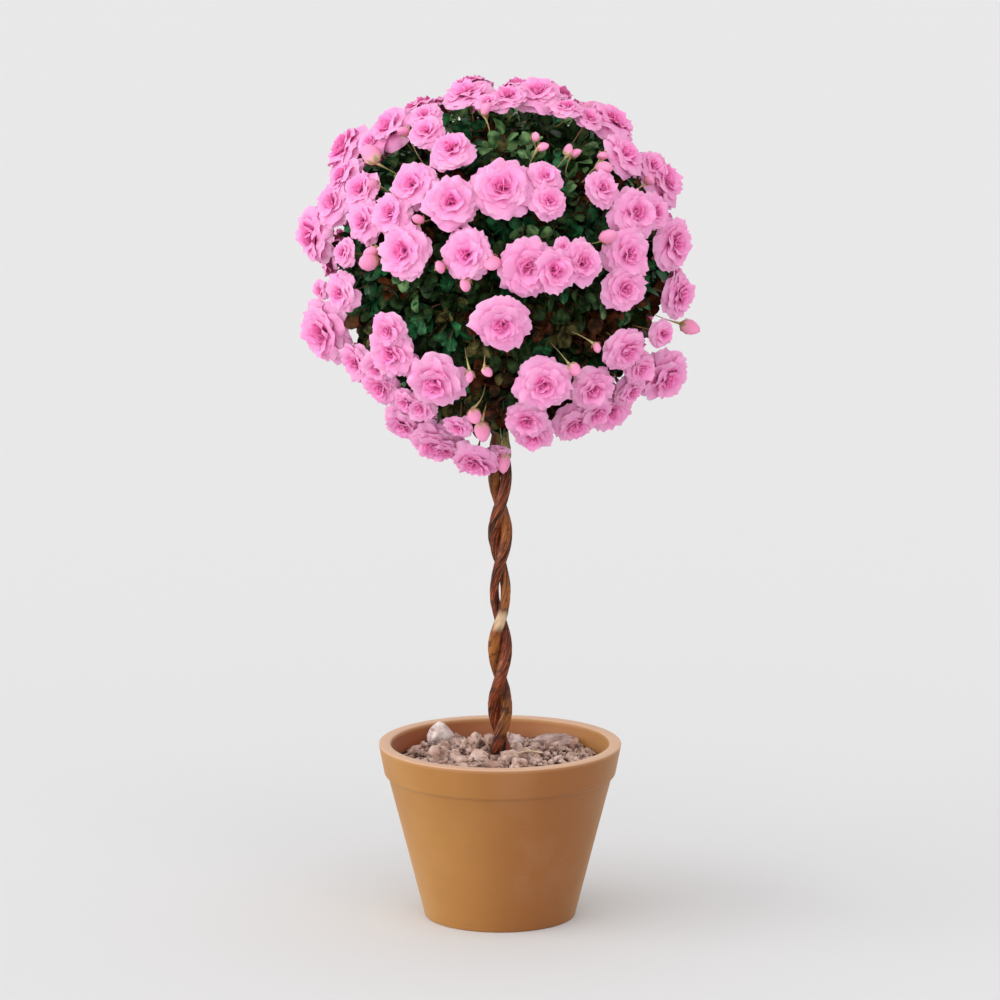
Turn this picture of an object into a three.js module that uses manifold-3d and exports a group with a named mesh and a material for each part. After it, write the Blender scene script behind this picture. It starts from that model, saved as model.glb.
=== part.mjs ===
// Standard lollipop topiary: a clipped ball of leaves set with double pink blossom, on a stem of two
// shoots twined round each other, in a clay pot of soil.
// Millimetres, +Z up, front towards -Y. The origin is the middle of the pot's flat underside.
import * as THREE from "three";
import { mergeVertices } from "three/addons/utils/BufferGeometryUtils.js";
import Module from "manifold-3d";

const wasm = await Module();
wasm.setup();

// ---- Driving dimensions ----
const GAP = 0.4; // left between pieces that touch
const SEAT_GAP = 1.8; // left under a blossom mass, where two faceted curved faces lie together
const POT = {
  height: 190,
  rimRadius: 130.5,
  bandFootRadius: 124,
  bodyTopRadius: 120.5,
  footRadius: 81,
  bandHeight: 34,
  wall: 13,
  floor: 12,
  drainRadius: 11,
  edge: 3, // how far the rim's and the foot's corners are taken off
  facets: 44,
};
const SOIL = { belowRim: 19, rise: 9, lump: 4, facets: 32, padRadius: 20 };
const STEM = {
  pitch: 125.7, // height of one full turn of the twine
  frontCrossing: 198.2, // height where the first shoot passes in front
  shootRadius: 6.1,
  twineRadius: 6.4, // from the stem's middle to the middle of a shoot
  flare: 1.8, // added to both radii where the shoots meet the soil
  flareHeight: 16,
  taper: 0.06, // share of its radius that a shoot loses towards the top
  top: 499,
  sides: 8,
  levels: 34,
};
const UNION = { footRadius: 12.2, topRadius: 8.2, intoBall: 5, facets: 16, levels: 4 };
const BALL = {
  centre: 706,
  radius: 171,
  tallness: 1.03, // its height over its width
  unevenness: 4.5,
  detail: 6,
};
const BLOSSOM = {
  reach: 214, // from the ball's middle to the outside of the blossom
  measuredAt: 194, // the distance from the ball's middle at which widths are given
  unevenness: 0.05,
  scallopDepth: 0.07,
  petals: 6,
  // From the middle of the seat to the middle of the top: share of the half width, share of the height.
  profile: [
    [0, 0.1],
    [0.92, 0],
    [1.05, 0.42],
    [0.92, 0.82],
    [0.5, 0.97],
    [0, 1],
  ],
};

// ---- Blossom masses ----
// Each row: degrees round from the front, degrees up, width, and for a mass that holds more than one
// flower its length and how far its long way is turned from level.
const FACE = {
  crest_left: [-70, 76, 50],
  crest_right: [45, 80, 42, 74, -45],
  crest_edge: [69, 64, 32, 46, 60],
  shoulder_right: [96, 49, 52, 70, 75],
  shoulder_left: [-80, 59, 36, 60, 60],
  brow_left: [-93, 38, 46, 62, 90],
  brow_pair: [-37, 55, 46, 72, -30],
  upper_left: [-39, 37, 52],
  upper_inner_left: [-18, 33, 54],
  upper_middle: [1, 38, 62],
  upper_inner_right: [17, 37, 34, 62, 90],
  upper_right: [42, 35, 40],
  brow_right: [67, 42, 48],
  cheek_left: [-59, 25, 54, 70, 90],
  cheek_inner_left: [-44, 24, 40],
  waist_left: [-32, 14, 50],
  side_left: [-87, 17, 46, 86, 90],
  waist_inner_left: [-11, 16, 54],
  waist_middle: [9, 12, 68, 74, 0],
  waist_inner_right: [27, 13, 42],
  cheek_right: [52, 24, 56],
  waist_right: [42, 6, 52, 78, 90],
  side_upper_right: [91, 27, 44, 66, 90],
  side_right: [74, 11, 50],
  side_lower_right: [77, -12, 38, 58, 90],
  below_middle: [0, -7, 56],
  below_left: [-39, -14, 50, 78, 90],
  side_lower_left: [-76, -12, 46, 84, 90],
  lower_edge_left: [-58, -32, 46, 76, -45],
  lower_left: [-24, -26, 62],
  lower_right: [14, -27, 60],
  below_right: [45, -19, 50],
  lower_inner_right: [36, -34, 44],
  lower_edge_right: [76, -31, 50],
  hem_middle: [12, -47, 48, 66, 90],
  hem_right: [49, -52, 46, 86, 15],
  hem_left: [-57, -59, 46, 82, -25],
  hem_bottom: [-20, -72, 42, 60, 0],
};
// The far side is filled evenly: tiers of masses that hold three or four flowers each.
const BACK = {
  tiers: [
    { name: "top", up: 60, count: 2 },
    { name: "high", up: 32, count: 3 },
    { name: "middle", up: 4, count: 4 },
    { name: "low", up: -25, count: 3 },
    { name: "bottom", up: -53, count: 2 },
  ],
  arc: 150, // degrees of the way round that the far side takes
  width: 84,
  length: 112,
};

// ---- Shared helpers ----
const radians = THREE.MathUtils.degToRad;

// A smooth unevenness from about -1 to 1 over a unit direction, different for each seed.
function unevenness(direction, seed, waves = 3) {
  let sum = 0;
  for (let wave = 1; wave <= waves; wave++) {
    const turn = seed * 1.7 + wave * 2.3;
    const along = direction.x * Math.cos(turn) + direction.y * Math.sin(turn);
    const across = direction.z * Math.cos(turn * 0.7) + direction.y * Math.cos(turn * 1.3);
    sum += Math.sin((2 + 1.6 * wave) * along + turn) * Math.cos((1.5 + 1.4 * wave) * across - turn);
  }
  return sum / Math.sqrt(waves);
}

// The unit direction from the ball's middle that faces round and up, in degrees.
function facing(round, up) {
  const around = radians(round);
  const above = radians(up);
  return new THREE.Vector3(
    Math.sin(around) * Math.cos(above),
    -Math.cos(around) * Math.cos(above),
    Math.sin(above),
  );
}

// Moves every vertex of a geometry to where place(vertex) says.
function reshape(geometry, place) {
  const position = geometry.getAttribute("position");
  const vertex = new THREE.Vector3();
  for (let i = 0; i < position.count; i++) {
    place(vertex.fromBufferAttribute(position, i));
    position.setXYZ(i, vertex.x, vertex.y, vertex.z);
  }
  return geometry;
}

function toSolid(geometry) {
  const bare = geometry.clone();
  bare.deleteAttribute("normal");
  bare.deleteAttribute("uv");
  const merged = mergeVertices(bare, 1e-3);
  return new wasm.Manifold(
    new wasm.Mesh({
      numProp: 3,
      vertProperties: merged.attributes.position.array,
      triVerts: new Uint32Array(merged.index.array),
    }),
  );
}

function toGeometry(solid) {
  const mesh = solid.getMesh();
  const geometry = new THREE.BufferGeometry();
  geometry.setAttribute("position", new THREE.BufferAttribute(mesh.vertProperties.slice(), 3));
  geometry.setIndex(new THREE.BufferAttribute(mesh.triVerts.slice(), 1));
  geometry.computeVertexNormals();
  return geometry;
}

// The largest of a cut solid's pieces.
function largestPiece(solid) {
  return solid.decompose().reduce((a, b) => (a.volume() >= b.volume() ? a : b));
}

// A closed tube of level sections: at each height, centre and radius say where the section lies.
function levelTube(bottom, top, levels, sides, centre, radius) {
  const tube = new THREE.CylinderGeometry(1, 1, 1, sides, levels);
  tube.rotateX(Math.PI / 2);
  return reshape(tube, (vertex) => {
    const height = THREE.MathUtils.lerp(bottom, top, vertex.z + 0.5);
    const middle = centre(height);
    const size = radius(height);
    vertex.set(middle.x + vertex.x * size, middle.y + vertex.y * size, height);
  });
}

// ---- Pieces ----
function wallRadiusInside(height) {
  const share = (height - POT.floor) / (POT.height - POT.floor);
  return THREE.MathUtils.lerp(POT.footRadius - POT.wall, POT.rimRadius - POT.wall, share);
}

function potGeometry() {
  const bandFoot = POT.height - POT.bandHeight;
  const outline = [
    [POT.drainRadius, 0],
    [POT.footRadius - POT.edge, 0],
    [POT.footRadius, POT.edge],
    [POT.bodyTopRadius, bandFoot - POT.edge],
    [POT.bandFootRadius, bandFoot],
    [POT.rimRadius, POT.height - POT.edge],
    [POT.rimRadius - POT.edge, POT.height],
    [POT.rimRadius - POT.wall + POT.edge, POT.height],
    [wallRadiusInside(POT.height - POT.edge), POT.height - POT.edge],
    [wallRadiusInside(POT.floor), POT.floor],
    [POT.drainRadius, POT.floor],
    [POT.drainRadius, 0],
  ].map(([radius, height]) => new THREE.Vector2(radius, height));
  return new THREE.LatheGeometry(outline, POT.facets).rotateX(Math.PI / 2);
}

// The soil's height at a point: a low mound, lumpy, with a level pad under the stem.
function soilHeight(x, y) {
  const out = Math.hypot(x, y);
  const share = out / wallRadiusInside(POT.height - SOIL.belowRim);
  const mound = POT.height - SOIL.belowRim + SOIL.rise * (1 - share * share);
  const lumpy = THREE.MathUtils.smoothstep(out, SOIL.padRadius, 2 * SOIL.padRadius);
  const lumps = unevenness(new THREE.Vector3(x, y, 0).divideScalar(18), 5);
  return mound + SOIL.lump * lumps * lumpy;
}

const soilPadHeight = soilHeight(0, 0);

function soilGeometry() {
  const foot = POT.floor + GAP;
  const edgeHeight = POT.height - SOIL.belowRim - SOIL.lump;
  const edgeRadius = wallRadiusInside(edgeHeight) - GAP - 0.6;
  const rings = 5;
  const outline = [
    [0, foot],
    [wallRadiusInside(foot) - GAP - 0.6, foot],
    [edgeRadius, edgeHeight],
  ];
  for (let ring = rings - 1; ring >= 1; ring--) {
    outline.push([(ring / rings) * edgeRadius, POT.height]);
  }
  outline.push([0, POT.height]);
  const lathe = new THREE.LatheGeometry(
    outline.map(([radius, height]) => new THREE.Vector2(radius, height)),
    SOIL.facets,
  ).rotateX(Math.PI / 2);
  return reshape(lathe, (vertex) => {
    if (vertex.z === POT.height) {
      const padded = Math.hypot(vertex.x, vertex.y) < 1.2 * SOIL.padRadius;
      vertex.z = padded ? soilPadHeight : soilHeight(vertex.x, vertex.y);
    }
  });
}

// One shoot of the twined stem. It runs up and round to the right as seen from the front.
function shootGeometry(turnFrom) {
  const foot = soilPadHeight + GAP;
  const spread = (height) => STEM.flare * Math.max(0, 1 - (height - foot) / STEM.flareHeight);
  return levelTube(
    foot,
    STEM.top,
    STEM.levels,
    STEM.sides,
    (height) => {
      const turn = ((height - STEM.frontCrossing) / STEM.pitch) * 2 * Math.PI + turnFrom;
      const out = STEM.twineRadius + spread(height);
      return { x: out * Math.sin(turn), y: -out * Math.cos(turn) };
    },
    (height) => {
      const share = (height - foot) / (STEM.top - foot);
      return STEM.shootRadius * (1 - STEM.taper * share) + spread(height);
    },
  );
}

// How far the leaf ball's surface lies from its middle in a direction.
function ballRadius(direction) {
  const round = BALL.radius + BALL.unevenness * unevenness(direction, 3);
  return round * (1 + (BALL.tallness - 1) * direction.z ** 2);
}

function ballGeometry() {
  const ball = new THREE.IcosahedronGeometry(1, BALL.detail);
  return reshape(ball, (vertex) => {
    vertex.multiplyScalar(ballRadius(vertex));
    vertex.z += BALL.centre;
  });
}

// The swollen union where the shoots meet the crown: it narrows upwards and ends inside the ball.
function unionGeometry(extra = 0) {
  const foot = STEM.top + GAP - extra;
  const top = BALL.centre - BALL.radius * BALL.tallness + UNION.intoBall + extra;
  return levelTube(
    foot,
    top,
    UNION.levels,
    UNION.facets,
    () => ({ x: 0, y: 0 }),
    (height) => {
      const share = THREE.MathUtils.smoothstep(height, foot, top);
      return THREE.MathUtils.lerp(UNION.footRadius, UNION.topRadius, share) + extra;
    },
  );
}

// Where a row's blossom mass faces, and its long and short ways on the ball.
function blossomFrame([round, up, width, length = width, turn = 0], seed) {
  const out = facing(round, up);
  const right = facing(round + 90, 0);
  const over = new THREE.Vector3().crossVectors(right, out);
  const long = right.clone().multiplyScalar(Math.cos(radians(turn)));
  long.addScaledVector(over, Math.sin(radians(turn)));
  const short = new THREE.Vector3().crossVectors(out, long);
  return { out, long, short, halfLength: length / 2, halfWidth: width / 2, seed };
}

// The angle at the ball's middle from a mass's middle to its edge, on the bearing given.
function footprint(frame, bearing) {
  const x = Math.cos(bearing) / frame.halfLength;
  const y = Math.sin(bearing) / frame.halfWidth;
  const scallop = 1 + BLOSSOM.scallopDepth * Math.cos(BLOSSOM.petals * bearing);
  return scallop / Math.hypot(x, y) / BLOSSOM.measuredAt;
}

function bearingTo(frame, direction) {
  return Math.atan2(direction.dot(frame.short), direction.dot(frame.long));
}

// The planes through the ball's middle that part a mass from its neighbours. Each is placed between
// the two middles in proportion to the two sizes, and given by its normal on the mass's own side.
function partings(frame, neighbours) {
  return neighbours.map((other) => {
    const apart = frame.out.angleTo(other.out);
    const own = footprint(frame, bearingTo(frame, other.out));
    const theirs = footprint(other, bearingTo(other, frame.out));
    const axis = new THREE.Vector3().crossVectors(frame.out, other.out).normalize();
    const turned = (apart * own) / (own + theirs) - Math.PI / 2;
    return frame.out.clone().applyAxisAngle(axis, turned);
  });
}

// The angle from a mass's middle to the nearest parting plane in a level direction of the mass.
function roomTowards(frame, planes, sideways) {
  const margin = GAP / 2 / BALL.radius;
  return Math.min(
    ...planes.map((normal) => {
      const ahead = frame.out.dot(normal);
      const aside = sideways.dot(normal);
      return Math.atan2(aside, ahead) + Math.acos(margin / Math.hypot(ahead, aside));
    }),
  );
}

// One blossom mass: an uneven cushion with a scalloped edge that sits on the ball.
function blossomGeometry(frame, neighbours) {
  const planes = partings(frame, neighbours);
  const outline = BLOSSOM.profile.map(([out, level]) => new THREE.Vector2(out, level));
  const cushion = new THREE.LatheGeometry(outline, 2 * BLOSSOM.petals).rotateX(Math.PI / 2);
  return reshape(cushion, (vertex) => {
    const bearing = Math.atan2(vertex.y, vertex.x);
    const sideways = frame.long.clone().multiplyScalar(Math.cos(bearing));
    sideways.addScaledVector(frame.short, Math.sin(bearing));
    const spread = footprint(frame, bearing) * Math.hypot(vertex.x, vertex.y);
    const angle = Math.min(spread, roomTowards(frame, planes, sideways));
    const direction = frame.out.clone().multiplyScalar(Math.cos(angle));
    direction.addScaledVector(sideways, Math.sin(angle));
    const level = vertex.z * (1 + BLOSSOM.unevenness * unevenness(direction, frame.seed));
    const seat = ballRadius(direction) + SEAT_GAP;
    vertex.copy(direction).multiplyScalar(THREE.MathUtils.lerp(seat, BLOSSOM.reach, level));
    vertex.z += BALL.centre;
  });
}

// A rough stone of three sizes, its foot cut to the soil that it lies on.
function stoneGeometry([x, y, width, depth, height], seed, peak) {
  const stone = new THREE.IcosahedronGeometry(1, 1);
  reshape(stone, (vertex) => {
    const lump = 1 + 0.12 * unevenness(vertex, seed);
    const narrow = 1 - peak * Math.max(0, vertex.z);
    vertex.set(
      x + vertex.x * (width / 2) * lump * narrow,
      y + vertex.y * (depth / 2) * lump * narrow,
      soilHeight(x, y) + vertex.z * height * lump,
    );
  });
  return stone;
}

// ---- Materials ----
function material(color, roughness) {
  return new THREE.MeshStandardMaterial({ color, roughness, metalness: 0 });
}
const clay = material(0xb98252, 0.8);
const earth = material(0xb59382, 0.95);
const rock = material(0xc2aca2, 0.85);
const bark = material(0x7d4427, 0.65);
const greenBark = material(0x938552, 0.7);
const leaf = material(0x26401f, 0.6);
const petal = material(0xf888c0, 0.6);

// ---- Assembly ----
const topiary = new THREE.Group();
topiary.name = "lollipop_topiary";

function addPiece(name, geometry, finish, to = topiary) {
  const mesh = new THREE.Mesh(geometry, finish);
  mesh.name = name;
  to.add(mesh);
}

function farSideRows() {
  const rows = {};
  for (const { name, up, count } of BACK.tiers) {
    for (let i = 0; i < count; i++) {
      const round = 180 + BACK.arc * ((i + 0.5) / count - 0.5);
      const turn = i % 2 ? 35 : -35;
      rows[`back_${name}_${i + 1}`] = [round, up, BACK.width, BACK.length, turn];
    }
  }
  return rows;
}

const potted = new THREE.Group();
topiary.add(potted);
addPiece("pot", potGeometry(), clay, potted);
addPiece("soil", soilGeometry(), earth, potted);
const soilBelow = toSolid(soilGeometry()).translate([0, 0, GAP]);
const stones = {
  stone_pointed: { at: [-64, 66, 27, 25, 21], peak: 0.45 },
  stone_slab: { at: [54, 66, 52, 30, 9], peak: 0 },
};
Object.entries(stones).forEach(([name, { at, peak }], i) => {
  const cut = toSolid(stoneGeometry(at, i + 1, peak)).subtract(soilBelow);
  addPiece(name, toGeometry(largestPiece(cut)), rock, potted);
});

const stem = new THREE.Group();
topiary.add(stem);
addPiece("stem_shoot_1", shootGeometry(0), bark, stem);
addPiece("stem_shoot_2", shootGeometry(Math.PI), bark, stem);
addPiece("stem_union", unionGeometry(), greenBark, stem);

const crown = new THREE.Group();
topiary.add(crown);
const ball = toSolid(ballGeometry()).subtract(toSolid(unionGeometry(GAP)));
addPiece("leaf_ball", toGeometry(ball), leaf, crown);

const frames = Object.entries({ ...FACE, ...farSideRows() }).map(([name, row], i) => ({
  name: `blossom_${name}`,
  ...blossomFrame(row, i),
}));
for (const frame of frames) {
  const neighbours = frames.filter((other) => other !== frame);
  addPiece(frame.name, blossomGeometry(frame, neighbours), petal, crown);
}

export default topiary;
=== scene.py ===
"""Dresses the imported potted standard: clay pot, lumpy soil, twined stem, limbs, leaves and blossom.

Everything is in metres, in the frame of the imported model, with +Z up and the front towards -Y.
"""

import logging
import math
from collections.abc import Callable, Sequence
from dataclasses import dataclass
from enum import Enum
from typing import Any

import bpy
import numpy as np
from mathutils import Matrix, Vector, noise


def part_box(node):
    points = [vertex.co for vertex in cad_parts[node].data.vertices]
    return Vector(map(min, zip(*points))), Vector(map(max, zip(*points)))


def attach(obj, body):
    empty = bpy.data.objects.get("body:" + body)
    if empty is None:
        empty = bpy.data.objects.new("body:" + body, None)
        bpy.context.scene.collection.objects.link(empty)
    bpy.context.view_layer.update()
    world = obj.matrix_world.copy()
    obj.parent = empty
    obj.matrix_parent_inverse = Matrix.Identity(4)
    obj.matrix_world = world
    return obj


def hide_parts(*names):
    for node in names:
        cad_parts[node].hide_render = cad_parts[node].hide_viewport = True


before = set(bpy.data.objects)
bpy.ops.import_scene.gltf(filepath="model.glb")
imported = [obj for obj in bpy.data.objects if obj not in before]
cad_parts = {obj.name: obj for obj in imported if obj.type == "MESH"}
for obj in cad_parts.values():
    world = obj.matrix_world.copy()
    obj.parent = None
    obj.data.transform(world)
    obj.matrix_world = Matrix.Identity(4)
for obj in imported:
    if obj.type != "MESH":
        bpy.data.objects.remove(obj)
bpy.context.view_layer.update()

log = logging.getLogger("topiary")
MM = 0.001
TURN = 2 * math.pi
ABOUT_A_TURN = 6.28
BEND_STEPS = 24
GOLDEN_ANGLE = math.pi * (3 - math.sqrt(5))
UP = np.array([0.0, 0.0, 1.0])
BODY = "root"

Triple = tuple[float, float, float]
Colour = Triple
Array = np.ndarray
Shape = tuple[Array, Array]
Chance = np.random.Generator
Piece = bpy.types.Object
Material = bpy.types.Material
Socket = bpy.types.NodeSocket


def colour(red: int, green: int, blue: int) -> Colour:
    """Turns a colour as it is seen, in 0 to 255, into the linear one that a shader takes.

    Args:
        red: Red share, 0 to 255.
        green: Green share, 0 to 255.
        blue: Blue share, 0 to 255.

    Returns:
        The linear colour, 0 to 1.
    """
    shares = (red / 255, green / 255, blue / 255)
    return tuple(c / 12.92 if c <= 0.04045 else ((c + 0.055) / 1.055) ** 2.4 for c in shares)


# ---------------------------------------------------------------- shader maths


class Signal:
    """A number that varies over a surface, with arithmetic that adds Math nodes."""

    def __init__(self, shading: "Shading", socket: Socket) -> None:
        """Wraps the socket of a node in the given material."""
        self.shading = shading
        self.socket = socket

    def _math(self, operation: str, first: Any, second: Any = 0.0, clamp: bool = False) -> "Signal":
        """Adds one Math node.

        Args:
            operation: The Math node's operation.
            first: A Signal or a number.
            second: A Signal or a number.
            clamp: Whether the result is kept within 0 and 1.

        Returns:
            The node's result.
        """
        settings = {"operation": operation, "use_clamp": clamp}
        node = self.shading.node("ShaderNodeMath", settings, {0: first, 1: second})
        return Signal(self.shading, node.outputs[0])

    def __add__(self, other: Any) -> "Signal":
        """Adds a Signal or a number."""
        return self._math("ADD", self, other)

    __radd__ = __add__

    def __mul__(self, other: Any) -> "Signal":
        """Multiplies by a Signal or a number."""
        return self._math("MULTIPLY", self, other)

    __rmul__ = __mul__

    def __sub__(self, other: Any) -> "Signal":
        """Subtracts a Signal or a number."""
        return self._math("SUBTRACT", self, other)

    def __rsub__(self, other: Any) -> "Signal":
        """Subtracts this from a Signal or a number."""
        return self._math("SUBTRACT", other, self)

    def __pow__(self, other: float) -> "Signal":
        """Raises to a power."""
        return self._math("POWER", self, other)

    def clamped(self) -> "Signal":
        """Keeps the value within 0 and 1."""
        return self._math("ADD", self, 0.0, clamp=True)

    def between(self, low: float, high: float) -> "Signal":
        """Is 0 below low and 1 above high, with an even slope between them."""
        return ((self - low) * (1 / (high - low))).clamped()


@dataclass(frozen=True)
class Pattern:
    """Cloudy noise.

    Attributes:
        scale: How many features there are in a metre, or in a metre along each way.
        detail: How fine it gets.
        edge: The two values that become 0 and 1, or None to leave it at about 0.3 to 0.7.
    """

    scale: float | Triple
    detail: float = 3.0
    edge: tuple[float, float] | None = None


class Shading:
    """One material's nodes, built round a Principled surface."""

    def __init__(self, name: str) -> None:
        """Makes an empty material with the given name."""
        self.material = bpy.data.materials.new(name)
        self.material.use_nodes = True
        self.tree = self.material.node_tree
        self.surface = self.tree.nodes["Principled BSDF"]

    def node(self, kind: str, settings: dict[str, Any], inputs: dict[Any, Any]) -> bpy.types.Node:
        """Adds a node.

        Args:
            kind: The node's type.
            settings: Its own properties, which are set first.
            inputs: What each input takes: a value, a Signal or a socket.

        Returns:
            The node.
        """
        node = self.tree.nodes.new(kind)
        for key, value in settings.items():
            setattr(node, key, value)
        for key, value in inputs.items():
            self.feed(node.inputs[key], value)
        return node

    def feed(self, target: Socket, value: Any) -> None:
        """Links a Signal or socket to an input, or sets the input to a plain value."""
        if isinstance(value, Signal):
            value = value.socket
        if isinstance(value, Socket):
            self.tree.links.new(value, target)
        elif isinstance(value, tuple) and len(value) == 3 and target.type == "RGBA":
            target.default_value = (*value, 1.0)
        else:
            target.default_value = value

    def place(self, scale: Triple = (1, 1, 1), source: str = "") -> Socket:
        """Gives a stretched position on the piece.

        Args:
            scale: How much finer a pattern runs along each way.
            source: An attribute that holds the position, or nothing for the object's own space.

        Returns:
            The position as a vector socket.
        """
        if source:
            start = self.node("ShaderNodeAttribute", {"attribute_name": source}, {})
        else:
            start = self.node("ShaderNodeTexCoord", {}, {})
        inputs = {"Vector": start.outputs["Vector" if source else "Object"], "Scale": scale}
        return self.node("ShaderNodeMapping", {}, inputs).outputs["Vector"]

    def share(self, name: str) -> Signal:
        """Reads a number that is stored on the piece's points."""
        node = self.node("ShaderNodeAttribute", {"attribute_name": name}, {})
        return Signal(self, node.outputs["Fac"])

    def mottle(self, pattern: Pattern, source: str = "") -> Signal:
        """Gives cloudy noise in the object's own space, or in the one that an attribute holds."""
        stretched = isinstance(pattern.scale, tuple)
        inputs = {
            "Vector": self.place(pattern.scale if stretched else (1, 1, 1), source),
            "Scale": 1.0 if stretched else pattern.scale,
            "Detail": pattern.detail,
        }
        cloud = Signal(self, self.node("ShaderNodeTexNoise", {}, inputs).outputs["Fac"])
        return cloud.between(*pattern.edge) if pattern.edge else cloud

    def grains(self, scale: float) -> Signal:
        """Gives the distance to the nearest of many scattered points, 0 at the points."""
        inputs = {"Vector": self.place(), "Scale": scale}
        return Signal(self, self.node("ShaderNodeTexVoronoi", {}, inputs).outputs["Distance"])

    def layers(self, base: Any, *coats: tuple[Signal, Any]) -> Any:
        """Lays colours over a base colour, each where and as much as its share says."""
        for share, coat in coats:
            mix = self.node("ShaderNodeMix", {"data_type": "RGBA"}, {0: share, 6: base, 7: coat})
            base = mix.outputs[2]
        return base

    def finish(
        self, base: Any, roughness: Any, height: Signal | None, depth: float, **fixed: Any
    ) -> Material:
        """Feeds the surface.

        Args:
            base: Base colour.
            roughness: Roughness.
            height: Relief from 0 to 1, or None.
            depth: How deep the relief is, in metres.
            fixed: Inputs that are the same all over, with _ for the spaces in their names.

        Returns:
            The material.
        """
        inputs = {"Base_Color": base, "Roughness": roughness, **fixed}
        if height is not None:
            bump = self.node("ShaderNodeBump", {}, {"Height": height, "Distance": depth})
            inputs["Normal"] = bump.outputs["Normal"]
        for key, value in inputs.items():
            self.feed(self.surface.inputs[key.replace("_", " ")], value)
        return self.material


# ---------------------------------------------------------------- finishes


@dataclass(frozen=True)
class ClayFinish:
    """Unglazed tan clay, with faint turning marks, pale bloom, fine grit and painted shade."""

    body: Colour = colour(178, 126, 58)
    deep: Colour = colour(166, 112, 48)
    # Painted shade: the darker tone of the outside's front-right.
    painted_side_shade: Colour = colour(144, 86, 32)
    bloom: Colour = colour(218, 180, 158)
    # Painted shade inside the pot: dark red-brown.
    inside: Colour = colour(142, 66, 26)
    dust: Colour = colour(255, 234, 200)
    clouds: Pattern = Pattern(9.0, 3.0, (0.35, 0.68))
    turning: Pattern = Pattern((3, 3, 260), 2.0)
    grit: Pattern = Pattern(900.0, 2.0)
    grit_edge: tuple[float, float] = (0.62, 0.72)
    grit_share: float = 0.25
    blooming: Pattern = Pattern((14, 14, 9), 5.0, (0.56, 0.74))
    bloom_share: float = 0.08
    rim_bloom: float = 0.6
    dust_share: float = 0.17
    dust_roughness: float = 0.35
    relief: float = 0.5 * MM

    def build(self, name: str) -> Material:
        """Makes the material."""
        shading = Shading(name)
        cloud, bloom = shading.mottle(self.clouds), shading.mottle(self.blooming)
        marks, grit = shading.mottle(self.turning), shading.mottle(self.grit)
        pale = (bloom * self.bloom_share + shading.share("rim") * self.rim_bloom).clamped()
        base = shading.layers(
            self.body,
            (cloud, self.deep),
            # Painted shade on the outside, darkest at the front-right.
            (shading.share("painted_side_shade"), self.painted_side_shade),
            # Painted shade inside the pot, heaviest on the left wall.
            (shading.share("inner"), self.inside),
            (pale, self.bloom),
            (grit.between(*self.grit_edge) * self.grit_share, self.deep),
        )
        return shading.finish(
            base, 0.5 + 0.12 * cloud + 0.1 * bloom, 0.5 * marks + 0.35 * grit, self.relief,
            Sheen_Weight=self.dust_share, Sheen_Roughness=self.dust_roughness,
            Sheen_Tint=self.dust,
        )


@dataclass(frozen=True)
class EarthFinish:
    """Dry, pinkish soil with grains, darker moist spots and painted shade in the hollows."""

    pale: Colour = colour(212, 184, 170)
    body: Colour = colour(168, 132, 117)
    # Colour of the moist specks and of the painted shade in hollows and under clods.
    dark: Colour = colour(78, 42, 30)
    patches: Pattern = Pattern(70.0, 3.0, (0.38, 0.62))
    crumbs: Pattern = Pattern(420.0, 4.0)
    specks: Pattern = Pattern(150.0, 3.0, (0.54, 0.66))
    speck_share: float = 0.7
    grain_scale: float = 600.0
    roughness: float = 0.93
    relief: float = 1.2 * MM

    def build(self, name: str) -> Material:
        """Makes the material."""
        shading = Shading(name)
        speck = shading.mottle(self.specks)
        # Moist specks, and painted shade in the hollows and under the clods.
        darkening = (speck * self.speck_share + shading.share("painted_hollow_shade")).clamped()
        base = shading.layers(
            self.body, (shading.mottle(self.patches), self.pale), (darkening, self.dark)
        )
        height = shading.mottle(self.crumbs) + 0.3 * shading.grains(self.grain_scale)
        return shading.finish(base, self.roughness, height, self.relief)


@dataclass(frozen=True)
class RockFinish:
    """Pale rough stone with faint layers and stains."""

    pale: Colour = colour(204, 180, 174)
    body: Colour = colour(164, 136, 129)
    stain: Colour = colour(116, 84, 74)
    clouds: Pattern = Pattern(110.0, 5.0, (0.4, 0.6))
    stains: Pattern = Pattern((60, 60, 200), 4.0, (0.55, 0.68))
    stain_share: float = 0.8
    grain: Pattern = Pattern(380.0, 5.0)
    roughness: float = 0.8
    relief: float = 0.8 * MM

    def build(self, name: str) -> Material:
        """Makes the material."""
        shading = Shading(name)
        stain = shading.mottle(self.stains) * self.stain_share
        base = shading.layers(
            self.body, (shading.mottle(self.clouds), self.pale), (stain, self.stain)
        )
        return shading.finish(base, self.roughness, shading.mottle(self.grain), self.relief)


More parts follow.
